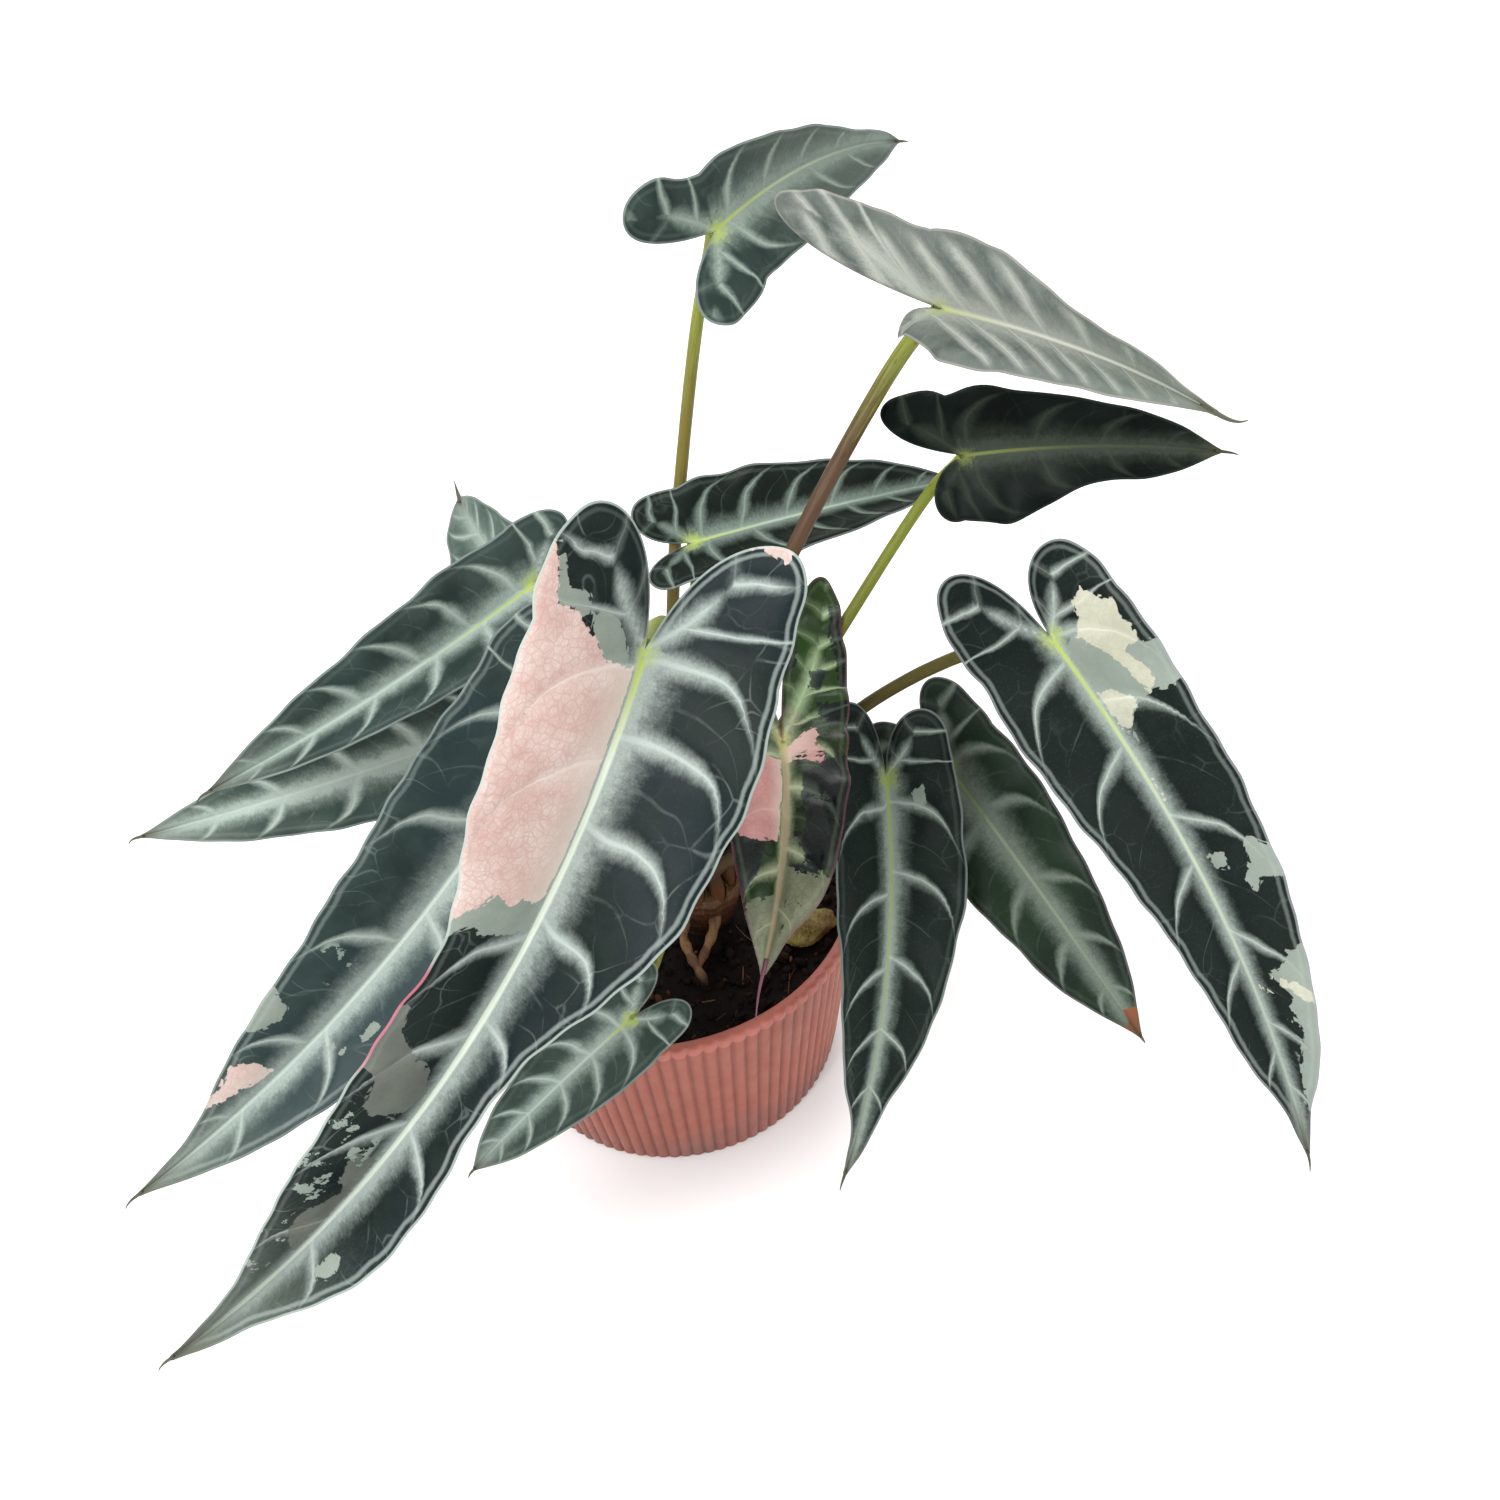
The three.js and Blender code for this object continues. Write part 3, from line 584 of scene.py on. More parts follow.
def tailPiece(leaf, fields, start):
    # The blade ends in a thin round drip tail that bends down: rings on a short curve.
    tall, droop, thick = (*leaf["tail"], 0.42)[:3]
    point, heading, _, _ = (v[0] for v in midribAt(leaf, np.array([1.0])))
    t = np.linspace(-0.5, 1, 12)[:, None]
    past = np.maximum(t, 0)
    path = point + heading * tall * t * (1 - 0.25 * past) + vec(0, 0, -1) * droop * past ** 2
    sides = 8
    rings = tube(path, np.interp(t[:, 0], [-0.5, 0, 1], [thick + 0.08, thick, 0.13]), sides)
    extra = {key: np.full(len(rings), values.mean()) for key, values in fields.items()}
    # no side vein, patch or junction reaches the tail
    fixed = dict(edge=0.3, share=1.0, spine=3.0, rib=4.0, lobeAxis=9.0, heart=90.0, laneShow=0.0,
                 lobeShow=0.0)
    fixed.update({kind: farOutside for kind in patchKinds if kind in extra})
    extra.update({key: np.full(len(rings), value) for key, value in fixed.items()})
    along = leaf["length"] + np.repeat(t[:, 0] * tall, sides)
    uv = np.stack([np.tile(np.arange(sides) * 0.4, len(path)), along], axis=1)
    return rings, [[i + start for i in f] for f in loftFaces(len(path), sides)], extra, uv


def bladeGrids(leaf):
    # Each half has rows from its lobe's end to the tip and columns from the midrib, or from the
    # notch behind the junction, out to the margin. Both halves share the midrib and the tip.
    length, step = leaf["length"], 0.75 + 0.016 * leaf["halfWidth"]
    columns = int(leaf["halfWidth"] / step)
    bladeRows = int(length / (1.25 * step))
    lobeRows = int(max(leaf["lobes"]) / step)
    rows = np.arange(-lobeRows, bladeRows + 1)
    c = np.linspace(0, 1, columns + 1)
    c = c + 0.06 * np.sin(2 * pi * c)
    tables, grids = [], []
    for half in (0, 1):
        back = -leaf["lobes"][half] * np.sin(np.clip(-rows / lobeRows, 0, 1) * pi / 2)
        y = np.where(rows < 0, back, length * np.clip(rows / bladeRows, 0, 1) ** 0.95)
        inner, outer = edges(leaf, half, y)
        x = inner[:, None] + (outer - inner)[:, None] * c[None, :]
        x[-1] = 0
        x[0] = x[0, 0]
        index = np.arange(x.size).reshape(x.shape) + half * x.size
        if half == 1:
            index[lobeRows:, 0] = tables[0][lobeRows:, 0]
        index[0, :] = index[0, 0]
        index[-1, :] = tables[0][-1, 0] if half == 1 else index[-1, 0]
        tables.append(index)
        grids.append((x.ravel(), np.repeat(y[:, None], columns + 1, axis=1).ravel()))
    return tables, grids


def marginLine(leaf, half):
    # outline of a half from the notch round its lobe and along the margin to the tip
    lobeSteps, bladeSteps = 60, 140
    back = -leaf["lobes"][half] * np.sin(np.linspace(1, 0, lobeSteps) * pi / 2)
    y = np.concatenate([back, leaf["length"] * np.linspace(0, 1, bladeSteps)[1:] ** 0.95])
    inner, outer = edges(leaf, half, y)
    return np.concatenate([np.stack([inner, y], axis=1)[:lobeSteps][::-1], np.stack([outer, y], axis=1)])


def bladeSheet(leaf):
    # middle surface of both halves welded along the midrib, with its fields
    tables, grids = bladeGrids(leaf)
    fields, points, uv = {}, [], []
    for half, (x, y) in enumerate(grids):
        flat = np.stack([x, y], axis=1)
        veins, soft = veinFields(leaf, half, x, y)
        here = {**veins, **patchFields(leaf, half, flat), "soft": soft,
                "edge": toOutline(flat, marginLine(leaf, half), False)}
        for key, values in here.items():
            fields.setdefault(key, []).append(values)
        points.append(bladePoint(leaf, half, x, y))
        uv.append(flat * vec(-1 if half == 0 else 1, 1))
    faces = gridFaces(tables[0][:, ::-1]) + gridFaces(tables[1])
    used = np.unique(np.concatenate([np.array(f) for f in faces]))
    points, uv = np.concatenate(points), np.concatenate(uv)
    renumber = np.full(len(points), -1)
    renumber[used] = np.arange(len(used))
    fields = {key: np.concatenate(values)[used] for key, values in fields.items()}
    return points[used], uv[used], fields, [[int(renumber[i]) for i in f] for f in faces]


def bladePiece(leaf, underside):
    # two skins set off from the middle surface along its normals, joined round the margin
    wide = leaf["halfWidth"]
    points, uv, fields, faces = bladeSheet(leaf)
    lift = normals(points, faces)
    if lift[len(lift) // 2] @ unit(vec(*leaf["face"])) < 0:
        faces = [f[::-1] for f in faces]
        lift = -lift
    # the surface puffs up between the veins, dips along them and rolls thin at the margin
    puff = leaf["puff"] * (0.35 + 0.65 * wide / widestBlade)
    soft = np.maximum(fields.pop("soft"), np.exp(-(fields["rib"] / 3.5) ** 2))
    body = smooth(0, 4, fields["edge"])
    ripple = noise(points, 0.55 * wide, leaf["seed"]) * 0.35
    ripple = ripple + noise(points, 0.16 * wide, leaf["seed"] + 3) * 0.12
    relief = puff * ((0.5 - soft) * body + ripple * body * (0.4 + leaf["crease"]))
    relief -= 0.35 * np.exp(-(fields["rib"] / 1.3) ** 2)
    ribSwell = (0.3 + 0.045 * wide * (1 - fields["share"])) * np.exp(-(fields["rib"] / 1.6) ** 2)
    thin = 0.12 + 0.16 * smooth(0, 2.5, fields["edge"])
    top = points + lift * (relief + thin)[:, None]
    low = points + lift * (relief - thin - ribSwell)[:, None]
    count = len(points)
    sides = np.concatenate([np.array([[f[k], f[(k + 1) % len(f)]] for k in range(len(f))]) for f in faces])
    keys = set(map(tuple, sides.tolist()))
    rim = [(a, b) for a, b in keys if (b, a) not in keys]
    shell = faces + [[i + count for i in f[::-1]] for f in faces]
    shell += [[b, a, a + count, b + count] for a, b in rim]
    tail, tailFaces, extra, tailUv = tailPiece(leaf, fields, 2 * count)
    both = {key: np.concatenate([values, values, extra[key]]) for key, values in fields.items()}
    piece = makeMesh("leaf_" + leaf["name"], np.concatenate([top, low, tail]), shell + tailFaces,
                     ["blade_" + leaf["name"]], np.concatenate([uv, uv, tailUv]), both)
    sheets = np.zeros(len(shell) + len(tailFaces), dtype=np.int32)
    sheets[len(faces):2 * len(faces)] = 1
    piece.data.materials.append(upperPaint(leaf))
    piece.data.materials.append(underside)
    piece.data.polygons.foreach_set("material_index", sheets)
    return len(shell)


veinLook = dict(core=0.16, ragged=0.55, ruffle=1.1, outer=1.4, inner=0.0, edgeTooth=1.5, edgeFray=1.2,
                hairline=0.1, tipColour="687268", margin=0.55, secondLine=1.9, brownColour="80492f",
                pinkRim="b8697a", nearRib="cfc3b7")
washes = {
    "olive": dict(flat="62665e", light="83897f", shade="4f544e", net=0.2),
    "grey": dict(flat="868f85", light="a3aca2", shade="757f76", net=0.25),
    "cream": dict(flat="b5b5a3", light="cfcfbf", shade="9f9e8b", net=0.45),
    "pink": dict(flat="cbbab2", light="d8cac1", shade="b38b83", net=0.62),
    "green": dict(flat="253b18", light="9fb58c", shade="15250f", net=0.2, glow=0.75),
    "black": dict(flat="0a100f", light="414f48", shade="111919", net=0.1),
}


def sideVeins(paint, hair):
    # Distance to the nearest vein in halo widths is a triangle wave of the lane; its small values
    # are the vein's core and its larger ones the silver, frayed by fine hairs square to the vein.
    rough = (hair - 0.5) * veinLook["ragged"]
    coreEdge = veinLook["core"] * 1.5, veinLook["core"] * 0.4
    silverEdge = veinLook["outer"], veinLook["inner"]
    axis = paint.field("lobeAxis")
    cores, silvers = [axis.fade(*coreEdge)], [(axis + rough).fade(*silverEdge)]
    for name, family in (("lane", "lane"), ("lobeLane", "lobe")):
        near = paint.field(name).wave() * paint.field(family + "Scale")
        show = paint.field(family + "Show")
        cores.append(near.fade(*coreEdge) * show)
        silvers.append((near + rough).fade(*silverEdge) * show)
    return [parts[1].most(parts[2].most(parts[0])) for parts in (cores, silvers)]


def patchSkin(paint, leaf, skin, where, mottle, fray, silver, lines):
    # Patches have edges that step along small cells, and a crackle of cell borders.
    look = leaf["look"]
    tooth = (paint.cells(where, 620, "F1") - 0.5) * veinLook["edgeTooth"] + fray * veinLook["edgeFray"]
    bent = paint.mix(0.0022, where, paint.cells(where, 150))
    crackle = paint.cracks(bent, 460).fade(0.13, 0.02, 0, 0.85)
    crackle = crackle.most(paint.cracks(bent, 1000).fade(0.18, 0.03, 0, 0.5))
    furrows = (paint.field("lane") * 5 + mottle).wave().fade(0.07, 0.0) * fray.fade(0.0, 0.12)
    crackle = crackle.most(furrows * paint.field("laneShow"))
    present = {patch[0] for patch in leaf["patches"]}
    for kind, wash in washes.items():
        if kind not in present:
            continue
        tone = {**wash, **look.get(kind, {})}
        inside = (paint.field(kind) + tooth).fade(-0.15, 0.15)
        colour = paint.mix(mottle.fade(0.35, 0.65, 0, 0.55), tone["flat"], tone["shade"])
        colour = colour.tint(crackle * tone["net"], tone["shade"])
        if kind == "pink":
            colour = colour.tint(paint.field("spine").fade(2.6, 0.2, 0, 0.7), veinLook["nearRib"])
        colour = colour.tint(silver * tone.get("glow", 0.3), tone["light"])
        skin = skin.tint(inside, colour.tint(lines * 0.55, tone["light"]))
    if "fleck" in present:
        isle = (paint.grain(where, 150, 5, 0.65) + tooth * 0.02).fade(0.565, 0.58)
        skin = skin.tint(isle * paint.field("fleck").fade(-0.5, 1.0), look["fleckColour"])
    return skin


def marginSkin(paint, look, skin, mottle):
    # the margin is a thin pale line, and a second one runs a little inside it
    edge, share, side = paint.field("edge"), paint.field("share"), paint.field("side")
    second = paint.calc("ABSOLUTE", edge + (mottle - 0.5) * 1.6 - veinLook["secondLine"])
    skin = skin.tint(second.fade(0.8, 0.1) * side.fade(0, 1, *look["band"]), look["halo"])
    rimColour = look["rim"]
    if look["pinkRim"]:
        start, stop = look["pinkRim"]
        along = share.fade(start, start + 0.03) * share.fade(stop, stop - 0.05)
        rimColour = paint.mix(along * side, rimColour, veinLook["pinkRim"])
    margin = veinLook["margin"]
    rimHere = share.fade(0.8, 0.96, look["rimShow"], 0.2 * look["rimShow"])
    skin = skin.tint(edge.fade(margin + 0.15, margin - 0.2) * rimHere, rimColour)
    if look["brown"]:
        past = share + (mottle - 0.5) * 0.05 - side.fade(0, 1, *look["brown"])
        skin = skin.tint(past.fade(0.0, 0.012), veinLook["brownColour"])
    return skin.tint(share.fade(look["endFrom"], 1.0, 0, look["endShow"]), look["end"])


def upperPaint(leaf):
    look, shift = leaf["look"], (0.37 * leaf["seed"], 0.21 * leaf["seed"], 0)
    paint = Paint("upper_" + leaf["name"], Roughness=look["gloss"], IOR=1.45,
                  Specular_IOR_Level=look["shine"])
    share = paint.field("share")
    where = paint.coords("UV", shift)
    sideHair = paint.grain(paint.coords("UV", shift, (1, 0.3, 1)), 1500, 4, 0.7)
    mottle = paint.grain(where, 95, 4, 0.6)
    speck = paint.grain(where, 1500, 2, 0.5)
    fray = paint.grain(where, 420, 4, 0.65) - 0.5
    ruffle = (fray + (mottle - 0.5)) * veinLook["ruffle"]
    lines, sideSilver = sideVeins(paint, sideHair + ruffle)
    ribHair = paint.grain(paint.coords("UV", shift, (0.45, 1, 1)), 1700, 4, 0.75) + ruffle
    ribNear = paint.field("spine") + (ribHair - 0.5) * veinLook["ragged"]
    silver = ribNear.fade(veinLook["outer"], veinLook["inner"]).most(sideSilver * look["sideSilver"])
    # dark ground with slow cloudy change, two hues far apart and fine pale specks; the second hue, one for
    # each half, is partly the leaf's own tone and partly painted sheen, the sky's reflection in the satin
    hue = paint.mix(paint.field("side"), look["hue"], look["hueRight"] or look["hue"])
    ground = paint.mix(mottle.fade(0.3, 0.7), look["dark"], look["deep"])
    ground = ground.tint(paint.grain(where, 28, 2, 0.5).fade(0.42, 0.6, 0, 0.7), hue)
    ground = ground.tint(speck.fade(0.55, 0.75, 0, 0.25), look["veil"])
    # thin arcs run half way between two side veins
    arc = ((paint.field("lane") + 0.5).wave() * paint.field("laneScale")).fade(0.2, 0.05)
    arc = arc * paint.field("laneShow") * mottle.fade(0.35, 0.6)
    ground = ground.tint(arc * veinLook["hairline"], look["halo"])
    # a net of fine pale veins closes the fields between side veins towards the margin
    net = paint.cracks(paint.mix(0.012, where, paint.cells(where, 90)), 90).fade(0.035, 0.0)
    net = net * paint.field("reach").fade(0.45, 0.85, 0.1, 1) * mottle.fade(0.4, 0.6, 0.1, 1)
    ground = ground.tint(net * look["net"], look["halo"])
    skin = ground.tint(silver * (speck.fade(0.3, 0.7, 0.78, 1.0) * look["silver"]), look["halo"])
    skin = skin.tint(silver.fade(0.5, 1.0, 0, look["bright"]), look["sideVein"])
    skin = skin.tint(lines * look["coreShow"], look["sideVein"])
    if look["tipFade"]:
        tipAt = share + (sideHair - 0.5) * 0.15
        skin = skin.tint(tipAt.fade(*look["tipFrom"], 0, look["tipFade"]), veinLook["tipColour"])
    skin = patchSkin(paint, leaf, skin, where, mottle, fray, silver, lines)
    # the midrib is warm near the junction, which has a glow of its own
    ribColour = paint.mix(share.fade(0.0, look["warm"], 1, 0), look["vein"], look["heart"])
    skin = skin.tint(paint.field("rib").fade(1.35, 0.5) * share.fade(*look["ribFade"]), ribColour)
    near = paint.field("heart") + (ribHair - 0.5) * 4.0
    skin = skin.tint(near.fade(look["heartSize"], 0.6, 0, 0.85), look["heart"])
    rough = mottle.fade(0.3, 0.7, look["gloss"] - 0.05, look["gloss"] + 0.07)
    paint.set(Base_Color=marginSkin(paint, look, skin, mottle), Roughness=rough + silver * 0.12)
    paint.bump(mottle * 1.5 + sideHair * 0.25 - (lines * 1.1 + arc * 0.4), 0.00014, 0.6)
    return paint.material


underLook = dict(base="332a31", cloud="443a42", net="63535d", vein="75696a", rib="8a875c", rim="7f8a82")


def undersidePaint():
    paint = Paint("blade_underside", Roughness=0.5, IOR=1.42, Specular_IOR_Level=0.3)
    where = paint.coords("UV")
    mottle = paint.grain(where, 120, 4, 0.6)
    net = paint.cracks(where, 520).fade(0.07, 0.0)
    lines = sideVeins(paint, mottle)[0]
    base = paint.mix(mottle.fade(0.3, 0.7), underLook["base"], underLook["cloud"])
    base = base.tint(net * 0.25, underLook["net"]).tint(lines * 0.8, underLook["vein"])
    base = base.tint(paint.field("rib").fade(1.6, 0.8, 0, 0.9), underLook["rib"])
    base = base.tint(paint.field("edge").fade(0.9, 0.4, 0, 0.6), underLook["rim"])
    paint.set(Base_Color=base)
    paint.bump(net * 0.6 + lines * 2.0, 0.00015, 0.8)
    return paint.material


stemX, stemY, stemRadius, stalkFootLevel = 15, -6, 12.4, 81.3
stalkRings = {"outer": (9, 9.6, 0.5), "inner": (5, 4.3, 0)}  # stalks in a ring, its radius and turn
stalkStyle = dict(footRadius=2.2, sides=20, streak="8f9062", foot="6b4527")


def stalkFoot(leaf):
    # feet stand evenly round two circles on the stem's top
    name, slot = leaf["foot"]
    count, radius, offset = stalkRings[name]
    angle = (slot + offset) / count * 2 * pi
    return vec(stemX + radius * cos(angle), stemY + radius * sin(angle), stalkFootLevel)


def splineThrough(knots, perSpan=40):
    # centripetal Catmull-Rom curve, its ends continued by mirroring the next knot
    knots = np.array(knots, dtype=float)
    padded = np.concatenate([[2 * knots[0] - knots[1]], knots, [2 * knots[-1] - knots[-2]]])
    t = np.linspace(0, 1, perSpan, endpoint=False)[:, None]
    result = []
    for i in range(len(knots) - 1):
        p0, p1, p2, p3 = padded[i:i + 4]
        d0, d1, d2 = (max(np.linalg.norm(b - a) ** 0.5, 1e-4) for a, b in ((p0, p1), (p1, p2), (p2, p3)))
        m1 = ((p1 - p0) / d0 - (p2 - p0) / (d0 + d1) + (p2 - p1) / d1) * d1
        m2 = ((p2 - p1) / d1 - (p3 - p1) / (d1 + d2) + (p3 - p2) / d2) * d1
        result.append((2 * t ** 3 - 3 * t ** 2 + 1) * p1 + (t ** 3 - 2 * t ** 2 + t) * m1
                      + (3 * t ** 2 - 2 * t ** 3) * p2 + (t ** 3 - t ** 2) * m2)
    return np.concatenate(result + [knots[-1:]])


def evenly(points, step):
    # the same line with points about one step apart, and how far along it each one lies
    gaps = np.linalg.norm(np.diff(points, axis=0), axis=1)
    travelled = np.concatenate([[0], np.cumsum(gaps)])
    places = np.linspace(0, travelled[-1], max(4, int(travelled[-1] / step)))
    return np.stack([np.interp(places, travelled, points[:, k]) for k in range(3)], axis=1), places


def tube(path, radii, sides, shape=None):
    # rings round a path, carried along without twist
    tangents = unit(np.gradient(path, axis=0))
    normal = unit(np.cross(tangents[0], vec(0.3, 0.9, 0.1)))
    rings, angle = [], ring(sides)
    for centre, tangent, radius in zip(path, tangents, radii):
        normal = unit(normal - tangent * (normal @ tangent))
        side = np.cross(tangent, normal)
        wide = radius * (shape(angle) if shape else 1)
        rings.append(centre + np.outer(np.cos(angle) * wide, normal) + np.outer(np.sin(angle) * wide, side))
    return np.concatenate(rings)


def stalkGroove(angle):
    # share of the radius: a shallow channel on one side and nine faint ridges
    return 1 - 0.10 * np.exp(-((np.abs(angle - pi)) / 0.35) ** 2) + 0.012 * np.sin(9 * angle)


def stalkPaint(leaf):
    low, middle, high = leaf["stalkLook"]
    bands, shift = leaf["stalkBands"], (0, leaf["seed"], 0)
    paint = Paint("stalk_" + leaf["name"], Roughness=0.42, IOR=1.45, Specular_IOR_Level=0.2,
                  Subsurface_Weight=0.06, Subsurface_Radius=(0.002, 0.002, 0.0006))
    streaks = paint.grain(paint.coords("UV", shift, (1, 0.08, 1)), 900, 4, 0.6)
    spots = paint.grain(paint.coords("UV", shift, (1, 0.35, 1)), 520, 3, 0.6)
    climb = paint.field("climb") + (streaks - 0.5) * 0.28
    base = paint.mix(climb.fade(*bands[:2]), low, middle).tint(climb.fade(*bands[2:]), high)
    base = base.tint(spots.fade(0.56, 0.66, 0, 0.35), low)
    base = base.tint(streaks.fade(0.58, 0.75, 0, 0.25), stalkStyle["streak"])
    paint.set(Base_Color=base.tint(paint.field("near").fade(10, 0, 0, 0.75), stalkStyle["foot"]))
    paint.bump(streaks, 0.00018, 0.8)
    return paint.material


def stalkPiece(leaf):
    # grooved tube through the route points, from footRadius to topRadius and flared at both ends
    point, _, _, up = (v[0] for v in midribAt(leaf, np.array([0.0])))
    head = point - up * 0.78
    foot = stalkFoot(leaf)
    path, places = evenly(splineThrough([foot, foot + vec(0, 0, 10), *leaf["path"], head]), 1.6)
    # the stalk goes on down into the stem's top and up into the root of the midrib
    path = np.concatenate([[foot - vec(0, 0, 6)], path, [head + up * 0.5]])
    places = np.concatenate([[-6], places, [places[-1] + 0.5]])
    total, thick, sides = places[-1], stalkStyle["footRadius"], stalkStyle["sides"]
    radii = thick + (leaf["topRadius"] - thick) * np.clip(places / total, 0, 1)
    radii = radii * (0.93 + 0.14 * np.exp(-((total - places) / 4) ** 2))
    radii = radii + 0.35 * np.exp(-np.maximum(places, 0) / 9)
    points = tube(path, radii, sides, stalkGroove)
    points += layered(points, 7, leaf["seed"], 2)[:, None] * 0.05
    fields = {"climb": np.repeat(np.clip(places / total, 0, 1), sides),
              "near": np.repeat(np.maximum(places, 0), sides)}
    angles = np.tile(np.arange(sides) / sides, len(path))
    uv = np.stack([np.abs(angles - 0.5) * 24, np.repeat(places, sides)], axis=1)
    piece = makeMesh("stem_" + leaf["name"], points, loftFaces(len(path), sides),
                     ["stalk_" + leaf["name"]], uv, fields)
    piece.data.materials.append(stalkPaint(leaf))


rootPaths = [
    [[10, -12, 74], [7.6, -20, 72], [10, -28.5, 67.6], [12.5, -33.5, 63.6], [13, -35, 55]],
    [[18, -12, 73], [17.2, -19.5, 71.4], [14.2, -25.5, 68.8], [11.2, -30, 66.4]],
]
# radius as a share of stemRadius, and height
stemProfile = np.array([[0.6, 44], [0.66, 60], [0.7, 65], [0.82, 70], [1.0, 77], [1.0, 79.6], [0.93, 81.2],
                        [0.7, 81.8], [0.3, 82], [0.02, 82]])
stemLook = dict(sides=72, rings=70, rootSides=18, rootRadius=1.75, sheathSteps=9, sheathPoints=22,
                bark="5f3c22", dark="47281a", fibre="936b42", top="7d6a3a", root="86643f", rootDark="5e3f2a",
                sheath="59371f", sheathPale="79602f", soiled="21150f")


def stemPaint():
    paint = Paint("stem_skin", Roughness=0.55, IOR=1.42)
    kind, height = paint.field("kind"), paint.field("height")
    fibres = paint.grain(paint.coords(scale=(1, 1, 0.16)), 1500, 4, 0.65)
    cloud = paint.grain(paint.coords(), 190, 4, 0.6)
    root = paint.mix(cloud.fade(0.4, 0.6), stemLook["root"], stemLook["rootDark"])
    sheath = paint.mix(fibres.fade(0.4, 0.6), stemLook["sheath"], stemLook["sheathPale"])
    base = paint.mix(cloud.fade(0.35, 0.65), stemLook["bark"], stemLook["dark"])
    base = base.tint(fibres.fade(0.5, 0.7, 0, 0.5), stemLook["fibre"])
    base = base.tint(height.fade(78, 83, 0, 0.3), stemLook["top"])
    base = base.tint(kind.fade(0.3, 0.45), sheath).tint(kind.fade(0.6, 0.9), root)
    paint.set(Base_Color=base.tint(height.fade(68.5, 64.5, 0, 0.85), stemLook["soiled"]))
    paint.bump(fibres + cloud, 0.0004, 0.8)
    return paint.material


def stemPiece(leaves):
    # a turned profile, knobbly tubes for the roots, and an open arc swept up for each sheath
    sides, angle = stemLook["sides"], ring(stemLook["sides"])
    s = np.linspace(0, len(stemProfile) - 1, stemLook["rings"])
    radii = np.interp(s, np.arange(len(stemProfile)), stemProfile[:, 0]) * stemRadius
    heights = np.interp(s, np.arange(len(stemProfile)), stemProfile[:, 1])
    rings = []
    for r, z in zip(radii, heights):
        # overlapping leaf scars run round the stem as slanting ridges
        scar = 0.14 * np.sin((z + 1.3 * np.sin(angle + 0.6)) * 2.1) * min(1, r / 5)
        lobes = 0.5 * np.cos(9 * angle - 0.35) * smooth(74, 80, np.array(z)) * min(1, r / 9)
        reach = np.maximum(r + scar + lobes, 0.05)
        rings.append(np.stack([reach * np.cos(angle) + stemX, reach * np.sin(angle) + stemY,
                               np.full(sides, z)], axis=1))
    points = np.concatenate(rings)
    outwards = (points - vec(stemX, stemY, 0)) * vec(1, 1, 0)
    points += layered(points, 4, 5)[:, None] * 0.3 * outwards / stemRadius
    heap = Heap()
    heap.add(points, loftFaces(len(rings), sides), 0)
    for k, path in enumerate(rootPaths):
        line, places = evenly(splineThrough(path), 0.9)
        size = stemLook["rootRadius"] * (1 - 0.3 * places / places[-1])
        size *= 1 + 0.14 * np.sin(places * 1.1 + 2 * k) + 0.7 * np.exp(-places / 3.5)
        root = tube(line, size, stemLook["rootSides"])
        root += layered(root, 2.6, 11 + k)[:, None] * 0.22
        heap.add(root, loftFaces(len(line), stemLook["rootSides"]), 1)
    # a papery sheath hugs the foot of each stalk
    steps, count = stemLook["sheathSteps"], stemLook["sheathPoints"]
    across = np.linspace(-1, 1, count)
    for leaf in leaves:
        foot = stalkFoot(leaf)
        turn, tall = rng.uniform(0, 2 * pi), rng.uniform(5, 10)
        sheath = []
        for k in range(steps):
            t = k / (steps - 1)
            a = turn + np.linspace(-2.2, 2.2, count) * (1 - 0.45 * t ** 2)
            z = foot[2] - 2.5 + tall * t - 1.2 * t * np.abs(across) ** 2
            outer = 2.75 + 0.25 * t
            outside, inside = (np.stack([foot[0] + r * np.cos(a), foot[1] + r * np.sin(a), z], axis=1)
                               for r in (outer, outer - 0.28))
            sheath.append(np.concatenate([outside, inside[::-1]]))
        heap.add(np.concatenate(sheath), loftFaces(steps, 2 * count), 0.5)
    points = np.concatenate(heap.parts)
    piece = makeMesh("stem_and_roots", points, heap.faces, ["stem_base"],
                     fields={"kind": np.concatenate(heap.values), "height": points[:, 2]})
    piece.data.materials.append(stemPaint())


soilLevel, soilFloor = 64, 40
soilLook = dict(rings=58, sides=230, crumbs=1500, fibres=90, ground="0d0806", cloud="1a120e", crumb="241811",
                grit="452a1c", fibre="6e5238", speck="3a2d25")


def soilHeight(x, y):
    # low lumps that flatten towards the pot's wall
    fading = np.clip((potInside(soilLevel) - np.hypot(x, y)) / 10, 0, 1)
    return soilLevel + fading * 1.2 * (np.sin(0.19 * x + 1) * np.cos(0.23 * y) - 0.6)


def fromStem(x, y):
    # level distance from the stem's middle line
    return np.hypot(x - stemX, y - stemY)


def roughBall(levels):
    # unit sphere split from an octahedron
    points = [vec(1, 0, 0), vec(-1, 0, 0), vec(0, 1, 0), vec(0, -1, 0), vec(0, 0, 1), vec(0, 0, -1)]
    faces = [(0, 2, 4), (2, 1, 4), (1, 3, 4), (3, 0, 4), (2, 0, 5), (1, 2, 5), (3, 1, 5), (0, 3, 5)]
    for _ in range(levels):
        middle, split = {}, []
        for face in faces:
            mids = []
            for a, b in ((face[0], face[1]), (face[1], face[2]), (face[2], face[0])):
                key = (min(a, b), max(a, b))
                if key not in middle:
                    middle[key] = len(points)
                    points.append(unit(points[a] + points[b]))
                mids.append(middle[key])
            split += [(face[0], mids[0], mids[2]), (mids[0], face[1], mids[1]),
                      (mids[2], mids[1], face[2]), tuple(mids)]
        faces = split
    return np.array(points), faces


